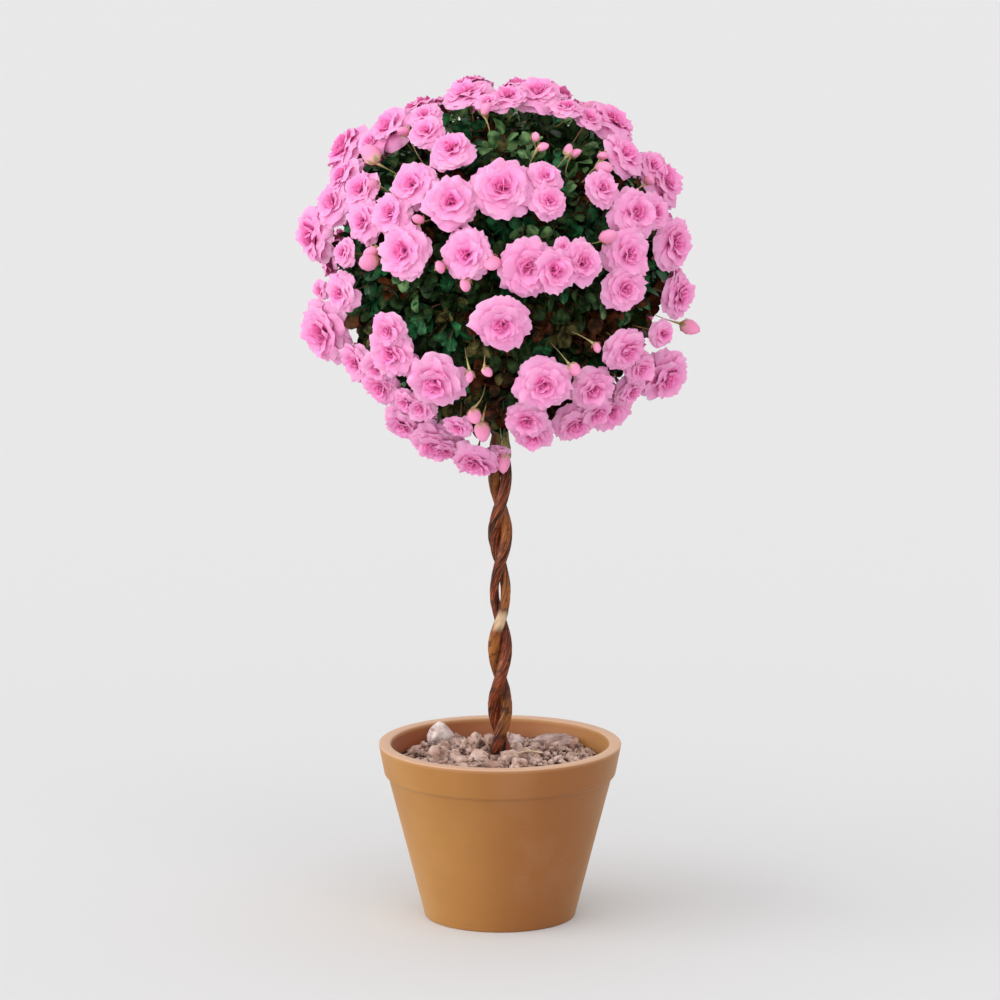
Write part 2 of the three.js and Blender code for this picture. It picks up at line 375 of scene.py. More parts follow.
@dataclass(frozen=True)
class BarkFinish:
    """Bark whose grain follows the limb, with pale streaks and, where told, a bare patch."""

    body: Colour
    dark: Colour
    streak: Colour
    patch: Colour = colour(206, 178, 142)
    gold: Colour = colour(172, 108, 46)
    roughness: float = 0.5
    gloss: float = 0.28
    relief: float = 0.9 * MM
    fine: Pattern = Pattern((760, 760, 80), 4.0)
    broad: Pattern = Pattern((260, 260, 22), 3.0)
    marks: Pattern = Pattern((120, 120, 160), 3.0, (0.52, 0.68))
    streak_share: float = 0.6
    mark_share: float = 0.7

    def build(self, name: str) -> Material:
        """Makes the material."""
        shading = Shading(name)
        fine, broad, marks = (
            shading.mottle(pattern, "grain") for pattern in (self.fine, self.broad, self.marks)
        )
        base = shading.layers(
            self.dark,
            (broad.between(0.38, 0.6), self.body),
            (fine.between(0.52, 0.7) * self.streak_share, self.streak),
            (shading.share("gold") * (0.3 + 0.7 * broad.between(0.4, 0.6)), self.gold),
            (marks * self.mark_share, self.dark),
            (shading.share("patch"), self.patch),
        )
        roughness = self.roughness + 0.25 * (1 - broad.between(0.35, 0.65))
        height = fine * 0.6 + broad * 0.5
        return shading.finish(
            base, roughness, height, self.relief, Specular_IOR_Level=self.gloss
        )


@dataclass(frozen=True)
class LeafFinish:
    """A leaf's blade: one tint, cloudy within a blade, with a paler rib and raised veins."""

    body: Colour
    shade: Colour
    rib: Colour
    roughness: float = 0.42
    gloss: float = 0.14
    gloss_tint: Colour = (0.55, 0.85, 0.55)
    clouds: Pattern = Pattern(95.0, 3.0, (0.4, 0.62))
    veins: Pattern = Pattern(460.0)
    rib_share: float = 0.3
    relief: float = 0.7 * MM

    def build(self, name: str) -> Material:
        """Makes the material."""
        shading = Shading(name)
        cloud, rib = shading.mottle(self.clouds), shading.share("rib")
        base = shading.layers(
            self.shade, (cloud, self.body), (rib * self.rib_share * (0.3 + 0.7 * cloud), self.rib)
        )
        height = rib * 0.6 + shading.mottle(self.veins) * 0.5
        return shading.finish(
            base, self.roughness + 0.2 * cloud, height, self.relief,
            Specular_IOR_Level=self.gloss, Specular_Tint=self.gloss_tint,
        )


@dataclass(frozen=True)
class PetalFinish:
    """A petal: soft pink, deeper towards its foot and paler towards its edge, with fine veins."""

    foot: Colour
    body: Colour
    edge: Colour
    through: Colour = colour(255, 152, 206)
    thinness: float = 0.24
    clouds: Pattern = Pattern(60.0, 3.0, (0.35, 0.65))
    veins: Pattern = Pattern(520.0)
    foot_reach: tuple[float, float] = (0.1, 0.5)
    roughness: float = 0.6
    gloss: float = 0.12
    relief: float = 0.25 * MM

    def build(self, name: str) -> Material:
        """Makes the material."""
        shading = Shading(name)
        along, cloud = shading.share("along"), shading.mottle(self.clouds)
        base = shading.layers(
            self.foot,
            (along.between(*self.foot_reach), self.body),
            ((along ** 3.0) * (0.45 + 0.55 * cloud), self.edge),
        )
        material = shading.finish(
            base, self.roughness, shading.mottle(self.veins), self.relief,
            Specular_IOR_Level=self.gloss,
        )
        glow = shading.node("ShaderNodeBsdfTranslucent", {}, {"Color": self.through})
        inputs = {0: self.thinness, 1: shading.surface.outputs[0], 2: glow.outputs[0]}
        thin = shading.node("ShaderNodeMixShader", {}, inputs)
        shading.feed(shading.tree.nodes["Material Output"].inputs["Surface"], thin.outputs[0])
        return material


@dataclass(frozen=True)
class GreenFinish:
    """Soft growth in two shades, for stalks, sepals and straw."""

    body: Colour
    blush: Colour
    patches: Pattern = Pattern(55.0, 2.0, (0.42, 0.6))
    grain: Pattern = Pattern(700.0, 2.0)
    roughness: float = 0.55
    relief: float = 0.2 * MM

    def build(self, name: str) -> Material:
        """Makes the material."""
        shading = Shading(name)
        base = shading.layers(self.body, (shading.mottle(self.patches), self.blush))
        return shading.finish(base, self.roughness, shading.mottle(self.grain), self.relief)


@dataclass(frozen=True)
class StudioFinish:
    """The pale matt sweep that the pot stands on."""

    body: Colour = colour(215, 215, 215)
    pale: Colour = (0.7, 0.7, 0.7)
    clouds: Pattern = Pattern(1.5, 2.0)
    cloud_share: float = 0.04
    roughness: float = 0.9

    def build(self, name: str) -> Material:
        """Makes the material."""
        shading = Shading(name)
        cloud = shading.mottle(self.clouds) * self.cloud_share
        return shading.finish(
            shading.layers(self.body, (cloud, self.pale)), self.roughness, None, 0.0
        )


class Tint(Enum):
    """The leaf tints that sprays are dealt."""

    GREEN = "green"
    EMERALD = "emerald"
    OLIVE = "olive"
    YOUNG = "young"
    BRONZE = "bronze"
    SHADE = "shade"


LEAF_FINISHES = {
    Tint.GREEN: LeafFinish(colour(40, 68, 32), colour(5, 14, 4), colour(88, 110, 68)),
    Tint.EMERALD: LeafFinish(
        colour(20, 100, 52), colour(3, 24, 11), colour(96, 164, 110), roughness=0.3, gloss=0.3
    ),
    Tint.OLIVE: LeafFinish(colour(86, 80, 40), colour(20, 21, 7), colour(140, 130, 84)),
    Tint.YOUNG: LeafFinish(
        colour(100, 142, 84), colour(26, 64, 28), colour(158, 184, 130), roughness=0.34, gloss=0.44
    ),
    Tint.BRONZE: LeafFinish(colour(88, 44, 22), colour(26, 11, 5), colour(120, 72, 46)),
    # Near-black leaves for inside the crown: painted shade.
    Tint.SHADE: LeafFinish(
        colour(12, 22, 9), colour(4, 8, 3), colour(18, 30, 14), roughness=0.8, gloss=0.04
    ),
}


# ---------------------------------------------------------------- making and finishing meshes


def clear_selection() -> None:
    """Deselects every object."""
    bpy.ops.object.select_all(action="DESELECT")


def activate(piece: Piece) -> None:
    """Makes the piece the only selected one and the active one."""
    clear_selection()
    piece.select_set(True)
    bpy.context.view_layer.objects.active = piece


def primitive(add: Callable[..., Any], name: str, **settings: Any) -> Piece:
    """Adds one of Blender's basic meshes as the only selected object.

    Args:
        add: The operator that adds it.
        name: The name of the object and of its mesh.
        settings: What the operator takes.

    Returns:
        The new object.
    """
    clear_selection()
    add(**settings)
    piece = bpy.context.active_object
    piece.name = piece.data.name = name
    return piece


def smooth(piece: Piece, degrees: float) -> None:
    """Shades the piece smoothly, but for the edges that bend by more than some degrees."""
    activate(piece)
    bpy.ops.object.shade_smooth_by_angle(angle=math.radians(degrees))


def settle(piece: Piece) -> None:
    """Puts the piece's place, turn and size into its mesh."""
    activate(piece)
    bpy.ops.object.transform_apply(location=True, rotation=True, scale=True)


def apply_modifiers(piece: Piece) -> None:
    """Applies the piece's modifiers in their order."""
    activate(piece)
    for modifier in list(piece.modifiers):
        bpy.ops.object.modifier_apply(modifier=modifier.name)


def face_outwards(piece: Piece) -> None:
    """Merges doubled points and turns every face outwards."""
    activate(piece)
    bpy.ops.object.mode_set(mode="EDIT")
    bpy.ops.mesh.select_all(action="SELECT")
    bpy.ops.mesh.remove_doubles(threshold=1e-6)
    bpy.ops.mesh.normals_make_consistent(inside=False)
    bpy.ops.object.mode_set(mode="OBJECT")


def points_of(piece: Piece) -> Array:
    """Gives the piece's points as rows of x, y and z."""
    flat = np.empty(len(piece.data.vertices) * 3)
    piece.data.vertices.foreach_get("co", flat)
    return flat.reshape(-1, 3)


def move_points(piece: Piece, points: Array) -> None:
    """Moves the piece's points to the given rows."""
    piece.data.vertices.foreach_set("co", points.ravel())
    piece.data.update()


def turned(name: str, facets: int, fill: str, section: Sequence[tuple[float, float]]) -> Piece:
    """Draws a turned shape: a circle that is extruded and resized from step to step.

    Args:
        name: The piece's name.
        facets: How many points the circle has.
        fill: How the first circle is closed, as Blender names it.
        section: The radius and the height of each step.

    Returns:
        The new object.
    """
    piece = primitive(
        bpy.ops.mesh.primitive_circle_add,
        name,
        vertices=facets,
        radius=section[0][0],
        location=(0, 0, section[0][1]),
        fill_type=fill,
    )
    bpy.ops.object.mode_set(mode="EDIT")
    bpy.ops.mesh.select_all(action="SELECT")
    for (radius, height), (next_radius, next_height) in zip(section, section[1:]):
        bpy.ops.mesh.extrude_region_move(
            TRANSFORM_OT_translate={"value": (0, 0, next_height - height)}
        )
        grow = next_radius / radius
        bpy.ops.transform.resize(value=(grow, grow, 1), center_override=(0, 0, next_height))
    bpy.ops.object.mode_set(mode="OBJECT")
    settle(piece)
    face_outwards(piece)
    return piece


def ball(detail: int) -> Shape:
    """Gives the points and triangles of a ball of radius 1 that is divided detail times."""
    piece = primitive(
        bpy.ops.mesh.primitive_ico_sphere_add, "ball", subdivisions=detail, radius=1
    )
    triangles = np.array([face.vertices[:] for face in piece.data.polygons])
    points = points_of(piece)
    bpy.data.objects.remove(piece)
    return points, triangles


def store(piece: Piece, name: str, values: Array) -> None:
    """Stores a number, or a vector, on each point of the piece for its material to read."""
    vector = values.ndim == 2
    attribute = piece.data.attributes.new(name, "FLOAT_VECTOR" if vector else "FLOAT", "POINT")
    attribute.data.foreach_set("vector" if vector else "value", values.astype(np.float32).ravel())


def mesh_piece(name: str, points: Array, triangles: Array) -> Piece:
    """Makes a smooth piece from joined arrays.

    Args:
        name: The piece's name.
        points: Rows of x, y and z.
        triangles: Rows of three point numbers.

    Returns:
        The new object.
    """
    mesh = bpy.data.meshes.new(name)
    mesh.from_pydata(points.tolist(), [], triangles.tolist())
    mesh.polygons.foreach_set("use_smooth", np.ones(len(triangles), bool))
    piece = bpy.data.objects.new(name, mesh)
    bpy.context.scene.collection.objects.link(piece)
    return piece


def hand_over(piece: Piece, material: Material, slot: str, *nodes: str) -> None:
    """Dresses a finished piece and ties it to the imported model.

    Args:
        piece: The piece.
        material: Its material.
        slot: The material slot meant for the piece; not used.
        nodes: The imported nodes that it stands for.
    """
    piece.data.materials.clear()
    piece.data.materials.append(material)
    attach(piece, BODY)
    if nodes:
        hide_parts(*nodes)
    log.info("%s: %d faces", piece.name, len(piece.data.polygons))


def rough(points: Array, scale: float, seed: float, octaves: int = 3) -> Array:
    """Gives smooth noise at each point.

    Args:
        points: Rows of x, y and z.
        scale: How many features there are in a metre.
        seed: Shifts the pattern.
        octaves: How many finer patterns are added.

    Returns:
        One number for each point, from about -1 to 1.
    """
    shift = Vector((seed, 2 * seed, 3 * seed))
    return np.array([noise.fractal(Vector(p) * scale + shift, 0.8, 2.0, octaves) for p in points])


def unit(vectors: Array) -> Array:
    """Scales each row to length 1."""
    return vectors / np.maximum(np.linalg.norm(vectors, axis=-1, keepdims=True), 1e-12)


def sphere_directions(count: int, jitter: float, rng: Chance) -> Array:
    """Spreads directions evenly over a sphere, each a little out of place."""
    steps = np.arange(count) + 0.5
    height = 1 - 2 * steps / count
    across = np.sqrt(1 - height**2)
    turn = steps * GOLDEN_ANGLE
    even = np.column_stack([across * np.cos(turn), across * np.sin(turn), height])
    return unit(even + rng.normal(0, jitter, even.shape))


def side_frames(forward: Array, outward: Array) -> Array:
    """Builds a square frame for each row: across, along and up.

    Args:
        forward: The way that each copy points.
        outward: The way that its face turns, as nearly as it can.

    Returns:
        For each row a matrix whose rows are across, along and up.
    """
    along = unit(forward)
    across = unit(np.cross(along, outward))
    return np.stack([across, along, np.cross(across, along)], axis=1)


def copies(shapes: Array, triangles: Array, frames: Array, origins: Array) -> Shape:
    """Joins copies of a shape.

    Args:
        shapes: For each copy its points, already at its own size.
        triangles: The shape's triangles.
        frames: For each copy its frame, as side_frames gives it.
        origins: For each copy where it stands.

    Returns:
        All points and all triangles.
    """
    placed = np.einsum("npi,nij->npj", shapes, frames) + origins[:, None, :]
    per = shapes.shape[1]
    starts = (np.arange(len(shapes)) * per)[:, None, None]
    return placed.reshape(-1, 3), (triangles[None] + starts).reshape(-1, 3)


def tubes(paths: Array, radii: Array, sides: int) -> Shape:
    """Joins closed round tubes, one along each path.

    Args:
        paths: For each tube its points in order.
        radii: For each tube its radius at each point.
        sides: How many sides a tube has.

    Returns:
        All points and all triangles.
    """
    count, steps, _ = paths.shape
    ahead = unit(np.gradient(paths, axis=1))
    chord = unit(paths[:, -1] - paths[:, 0])
    helper = np.where(np.abs(chord[:, 2:]) < 0.8, UP, np.array([1.0, 0.0, 0.0]))
    across = unit(np.cross(ahead, helper[:, None, :]))
    beside = np.cross(ahead, across)
    turn = (np.arange(sides) * TURN / sides)[:, None]
    rings = np.cos(turn) * across[:, :, None, :] + np.sin(turn) * beside[:, :, None, :]
    rings = paths[:, :, None, :] + radii[:, :, None, None] * rings
    points = np.concatenate([rings.reshape(count, -1, 3), paths[:, :1], paths[:, -1:]], axis=1)
    here = np.arange(steps * sides).reshape(steps, sides)
    low, low_next = here[:-1], np.roll(here[:-1], -1, axis=1)
    high, high_next = here[1:], np.roll(here[1:], -1, axis=1)
    first, last = steps * sides, steps * sides + 1
    wall = [np.stack([low, high, low_next], -1), np.stack([low_next, high, high_next], -1)]
    start = np.stack([np.full(sides, first), here[0], np.roll(here[0], -1)], -1)
    end = np.stack([np.full(sides, last), np.roll(here[-1], -1), here[-1]], -1)
    triangles = np.concatenate([face.reshape(-1, 3) for face in (*wall, start, end)])
    offsets = (np.arange(count) * points.shape[1])[:, None, None]
    return points.reshape(-1, 3), (triangles[None] + offsets).reshape(-1, 3)


def bent_paths(starts: Array, ends: Array, bends: Array, steps: int) -> Array:
    """Draws a curve from each start to its end, pulled towards its bend point on the way."""
    share = np.linspace(0, 1, steps)[None, :, None]
    first, middle, last = starts[:, None], bends[:, None], ends[:, None]
    return first * (1 - share) ** 2 + middle * 2 * share * (1 - share) + last * share**2


def joined(parts: Sequence[Shape]) -> Shape:
    """Joins several point and triangle arrays into one pair."""
    starts = np.cumsum([0] + [len(points) for points, _ in parts[:-1]])
    points = np.concatenate([points for points, _ in parts])
    triangles = np.concatenate([faces + start for (_, faces), start in zip(parts, starts)])
    return points, triangles


# ---------------------------------------------------------------- pot


@dataclass
class Pot:
    """The tapered clay pot with its rim band and drain hole."""

    wall: float = 13 * MM
    floor: float = 12 * MM
    foot_radius: float = 81 * MM
    body_top_radius: float = 120.5 * MM
    band_foot_radius: float = 124 * MM
    band_height: float = 34 * MM
    step_under_band: float = 1.2 * MM
    lip: float = 5 * MM
    lip_lean: float = 0.9 * MM
    throat: float = 9 * MM
    throat_lean: tuple[float, float] = (0.6 * MM, 2.0 * MM)
    drain_radius: float = 11 * MM
    facets: int = 144
    rounding: float = 1.9 * MM
    rounded_beyond: float = 28
    sharp_beyond: float = 35
    bloom_below_top: float = 2.2 * MM
    bloom_fades_over: float = 1.6 * MM
    # How far below the top the painted shade inside begins.
    dark_below_top: float = 4 * MM
    inner_slack: float = 2 * MM
    # Turn from the front, in radians, at which the painted shade outside is darkest.
    painted_shade_turn: float = 0.6

    def build(self) -> None:
        """Models the pot and marks its pale clay and its painted shade, inside and outside."""
        pot = turned("clay_pot", self.facets, "NOTHING", self._section())
        edges = pot.modifiers.new("rounded_edges", "BEVEL")
        edges.width = self.rounding
        edges.segments = 4
        edges.limit_method = "ANGLE"
        edges.angle_limit = math.radians(self.rounded_beyond)
        apply_modifiers(pot)
        smooth(pot, self.sharp_beyond)
        x, y, z = points_of(pot).T
        top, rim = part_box("pot")[1].z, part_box("pot")[1].x
        near_top = np.clip((z - top + self.bloom_below_top) / self.bloom_fades_over, 0, 1)
        inner_foot, inner_top = self.foot_radius - self.wall, rim - self.wall
        up_the_wall = (z - self.floor) / (top - self.floor)
        inner_wall = inner_foot + (inner_top - inner_foot) * up_the_wall + self.inner_slack
        inside = (np.hypot(x, y) < inner_wall) & (z > 0.9 * self.floor)
        turn = np.arctan2(x, -y)
        # Painted shade on the inside wall: heaviest on the left, lightest on the right.
        darkening = 0.72 - 0.28 * np.sin(turn) - 0.4 * np.maximum(np.sin(turn) - 0.3, 0)
        # Painted shade on the outside: darkest at the front-right, none at the back-left.
        painted_side_shade = (0.5 + 0.5 * np.cos(turn - self.painted_shade_turn)) ** 3
        store(pot, "rim", near_top)
        # Painted shade, inside the pot and on the outside's front-right.
        store(pot, "inner", darkening * inside * (z < top - self.dark_below_top))
        store(pot, "painted_side_shade", painted_side_shade * (1 - near_top) * ~inside)
        hand_over(pot, ClayFinish().build("tan_clay"), "pot", "pot")

    def _section(self) -> list[tuple[float, float]]:
        """Gives the radius and height of each step, up the outside and back down inside."""
        low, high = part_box("pot")
        top, rim = high.z, high.x
        band, inside = top - self.band_height, rim - self.wall
        middle_radius = self.foot_radius + 0.5 * (self.body_top_radius - self.foot_radius)
        return [
            (self.foot_radius, low.z),
            (middle_radius, low.z + 0.5 * band),
            (self.body_top_radius, band - self.step_under_band),
            (self.band_foot_radius, band),
            (rim - self.lip_lean, top - self.lip),
            (rim, top),
            (inside, top),
            (inside - self.throat_lean[0], top - self.lip),
            (inside - self.throat_lean[1], top - self.throat),
            (self.foot_radius - self.wall, self.floor),
            (self.drain_radius, self.floor),
            (self.drain_radius, low.z),
            (self.foot_radius, low.z),
        ]


# ---------------------------------------------------------------- soil


# Stone chips: x, y and width in mm. The first is the pinkish block behind the stem.
CHIPS = ((17, 34, 24), (38, 24, 15), (-60, -20, 11), (62, -30, 13), (-22, 62, 14), (-84, 22, 10))


@dataclass
class SoilBed:
    """The soil in the pot: a lumpy bed, loose clods, two larger stones, chips and a straw.

    Attributes:
        clods: For each sort of clod its detail, number, least width and greatest width in mm.
        straw: Start, bend and end of the straw, as x and y in mm.
    """

    below_rim: float = 19 * MM
    rise: float = 9 * MM
    sag: float = 1.5 * MM
    facets: int = 200
    foot_share: float = 0.625
    coarse_lumps: float = 3.4 * MM
    fine_lumps: float = 1.8 * MM
    clods: tuple[tuple[int, int, float, float], ...] = ((3, 110, 11.0, 24.0), (2, 900, 2.6, 12.0))
    clod_kinds: int = 8
    cuts: int = 9
    clear_of_stem: float = 13 * MM
    clear_of_wall: float = 1.5 * MM
    pushed_down: float = 12 * MM
    straw: tuple[tuple[float, float], ...] = ((13, -46), (27, -16), (46, -30))
    straw_lift: float = 8.5 * MM
    sharp_beyond: float = 38
    seed: int = 11

    def __post_init__(self) -> None:
        """Reads the bed's place from the packed soil."""
        self.low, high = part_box("soil")
        self.rim_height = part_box("pot")[1].z
        self.edge_radius = high.x

    def height(self, x: Array, y: Array) -> Array:
        """Gives the bed's height at each x and y, without its fine lumps."""
        share = np.hypot(x, y) / self.edge_radius
        return self.rim_height - self.below_rim + self.rise * (1 - share**2) - self.sag

    def build(self) -> None:
        """Models the bed, scatters the clods and lays the stones and the straw."""
        earth = EarthFinish().build("dry_soil")
        self._bed(earth)
        self._clods(earth)
        pale = RockFinish(colour(226, 212, 207), colour(196, 174, 167), colour(132, 98, 86))
        slab = RockFinish(colour(182, 154, 147), colour(150, 122, 115), colour(110, 80, 72))
        self._stone("pointed_stone", "stone_pointed", pale, peak=0.38, seed=5.0, grown=1.14)
        self._stone("flat_stone", "stone_slab", slab, peak=0.0, seed=8.0, grown=1.12)
        self._chips(RockFinish().build("pale_stone"))
        self._straw()

    def _bed(self, earth: Material) -> None:
        """Models the plug of soil, whose uneven top rises to the middle."""
        depth = self.rim_height - self.below_rim - self.low.z
        middle = self.low.z + depth / 2
        bed = primitive(
            bpy.ops.mesh.primitive_cylinder_add,
            "soil_bed",
            vertices=self.facets,
            radius=self.edge_radius,
            depth=depth,
            location=(0, 0, middle),
            end_fill_type="NGON",
        )
        settle(bed)
        points = points_of(bed)
        points[points[:, 2] < middle, :2] *= self.foot_share
        move_points(bed, points)
        bpy.ops.object.mode_set(mode="EDIT")
        bpy.ops.mesh.select_all(action="SELECT")
        bpy.ops.mesh.poke()
        bpy.ops.object.mode_set(mode="OBJECT")
        face_outwards(bed)
        points = points_of(bed)
        top = points[:, 2] > middle
        surface = points[top]
        lumps = rough(surface, 70, 4.0) * self.coarse_lumps
        lumps += rough(surface, 230, 9.0) * self.fine_lumps
        points[top, 2] = self.height(surface[:, 0], surface[:, 1]) + lumps
        move_points(bed, points)
        # Painted shade: full on the plug's sides and foot, and in the hollows of its top.
        painted_hollow_shade = np.ones(len(points))
        painted_hollow_shade[top] = np.clip(0.75 - lumps / (4.5 * MM), 0, 1)
        store(bed, "painted_hollow_shade", painted_hollow_shade)
        activate(bed)
        bpy.ops.object.shade_smooth()
        hand_over(bed, earth, "soil", "soil")

    def _clod_shapes(self, detail: int) -> Shape:
        """Models the clods that are copied: lumps with broken, flat sides.

        Args:
            detail: How often the ball that they are cut from is divided.

        Returns:
            Their points, one row of points for each shape, and their shared triangles.
        """
        rng = np.random.default_rng(5)
        sphere, triangles = ball(detail)
        shapes = []
        for kind in range(self.clod_kinds):
            points = sphere * (1 + 0.3 * rough(sphere, 1.1, 5.0 + kind))[:, None]
            ways = unit(rng.normal(size=(self.cuts, 3)))
            for way, depth in zip(ways, rng.uniform(0.45, 0.8, self.cuts)):
                points -= 0.92 * np.maximum(points @ way - depth, 0)[:, None] * way
            points *= (1 + 0.16 * rough(points, 2.6, 15.0 + kind, 4))[:, None]
            shapes.append(points / np.abs(points).max())
        return np.array(shapes), triangles

    def _clods(self, earth: Material) -> None:
        """Scatters clods of all sizes over the bed, clear of the stem."""
        rng = np.random.default_rng(self.seed)
        parts = []
        for detail, count, least, most in self.clods:
            shapes, triangles = self._clod_shapes(detail)
            sizes = (least + (most - least) * rng.random(count) ** 1.7) * MM
            turn = rng.uniform(0, TURN, count)
            room = self.edge_radius - self.clear_of_wall - 0.5 * sizes
            inner = self.clear_of_stem + 0.5 * sizes
            out = np.sqrt(rng.uniform(inner**2, room**2))
            x, y = out * np.cos(turn), out * np.sin(turn)
            z = self.height(x, y) + rng.uniform(-0.15, 0.28, count) * sizes
            z[self._under_stones(x, y, sizes)] -= self.pushed_down
            forward, outward = (unit(rng.normal(size=(count, 3))) for _ in range(2))
            stretch = rng.uniform(0.65, 1.35, (count, 1, 3))
            kinds = rng.integers(0, len(shapes), count)
            bodies = shapes[kinds] * stretch * sizes[:, None, None] / 2
            frames = side_frames(forward, outward)
            parts.append(copies(bodies, triangles, frames, np.column_stack([x, y, z])))
        points, faces = joined(parts)
        clods = mesh_piece("soil_clods", points, faces)
        # Painted shade on each clod's lower side, deepest where it sinks into the bed.
        sunk = self.height(points[:, 0], points[:, 1]) + 2.5 * MM - points[:, 2]
        store(clods, "painted_hollow_shade", np.clip(0.15 + sunk / (5 * MM), 0, 0.85))
        smooth(clods, self.sharp_beyond)
        hand_over(clods, earth, "soil")

    @staticmethod
    def _under_stones(x: Array, y: Array, sizes: Array) -> Array:
        """Tells which clods would hide a stone and are pushed down under it."""
        hidden = np.zeros(len(x), bool)
        for node in ("stone_pointed", "stone_slab"):
            low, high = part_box(node)
            reach = 0.3 * sizes
            beside = (x > low.x - reach) & (x < high.x + reach)
            before = (y > low.y - 16 * MM) & (y < high.y + reach)
            hidden |= beside & before & (sizes > 7 * MM)
        return hidden

    @staticmethod
    def _stone(
        name: str, node: str, rock: RockFinish, peak: float, seed: float, grown: float
    ) -> None:
        """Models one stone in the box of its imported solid.

        Args:
            name: The piece's name.
            node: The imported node.
            rock: The stone's finish.
            peak: How much the stone narrows upwards.
            seed: Shifts its lumps.
            grown: How many times larger than the solid its outline is.
        """
        low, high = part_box(node)
        middle, half = (low + high) / 2, (high - low) / 2
        stone = primitive(
            bpy.ops.mesh.primitive_ico_sphere_add, name, subdivisions=5, radius=1
        )
        points = points_of(stone)
        points *= (1 + 0.16 * rough(points, 1.3, seed))[:, None]
        points *= (1 + 0.03 * rough(points, 7.0, seed, 4))[:, None]
        for cut in range(5):
            turn = 2.4 * cut + seed
            flat = unit(np.array([math.cos(turn), math.sin(turn), 0.25 * cut - 0.4]))
            over = np.maximum(points @ flat - 0.78, 0)
            points -= 0.85 * over[:, None] * flat
        points[:, :2] *= 1 - peak * np.clip(points[:, 2:] + 0.1, 0, 1)
        points = (points - points.min(0)) / np.ptp(points, axis=0) * 2 - 1
        foot = np.array([middle.x, middle.y, low.z])
        move_points(stone, (points * half + np.array([0, 0, half.z])) * grown + foot)
        smooth(stone, 50)
        hand_over(stone, rock.build(f"{name}_rock"), "stones", node)

    def _chips(self, rock: Material) -> None:
        """Makes the pinkish block behind the stem and a few pale chips of stone."""
        rng = np.random.default_rng(self.seed + 1)
        shapes, triangles = self._clod_shapes(3)
        x, y, sizes = (np.array(CHIPS) * MM).T
        level = unit(rng.normal(size=(len(x), 3)) * [1, 1, 0.15])
        frames = side_frames(level, np.tile(UP, (len(x), 1)))
        bodies = shapes[: len(x)] * np.array([1.0, 1.0, 0.7]) * sizes[:, None, None] / 2
        middles = np.column_stack([x, y, self.height(x, y) + 0.2 * sizes])
        chips = mesh_piece("stone_chips", *copies(bodies, triangles, frames, middles))
        smooth(chips, self.sharp_beyond)
        hand_over(chips, rock, "stones")

    def _straw(self) -> None:
        """Lays one curved pale straw on the soil in front of the stem."""
        start, bend, end = (np.array([[x, y, 0.0]]) * MM for x, y in self.straw)
        path = bent_paths(start, end, bend, 14)
        path[..., 2] = self.height(path[..., 0], path[..., 1]) + self.straw_lift
        thick = np.array([0.6] + [1.1] * 12 + [0.6])[None] * MM
        finish = GreenFinish(colour(214, 196, 168), colour(186, 158, 128)).build("dry_straw")
        hand_over(mesh_piece("straw", *tubes(path, thick, 8)), finish, "soil")


# ---------------------------------------------------------------- stem


# The union's section: how high, and how wide as a share of its greatest radius.
UNION_OUTLINE = (
    (0.0, 0.86), (0.03, 0.98), (0.1, 1.0), (0.25, 0.98), (0.4, 0.9),
    (0.55, 0.82), (0.7, 0.75), (0.85, 0.7), (1.0, 0.67),
)


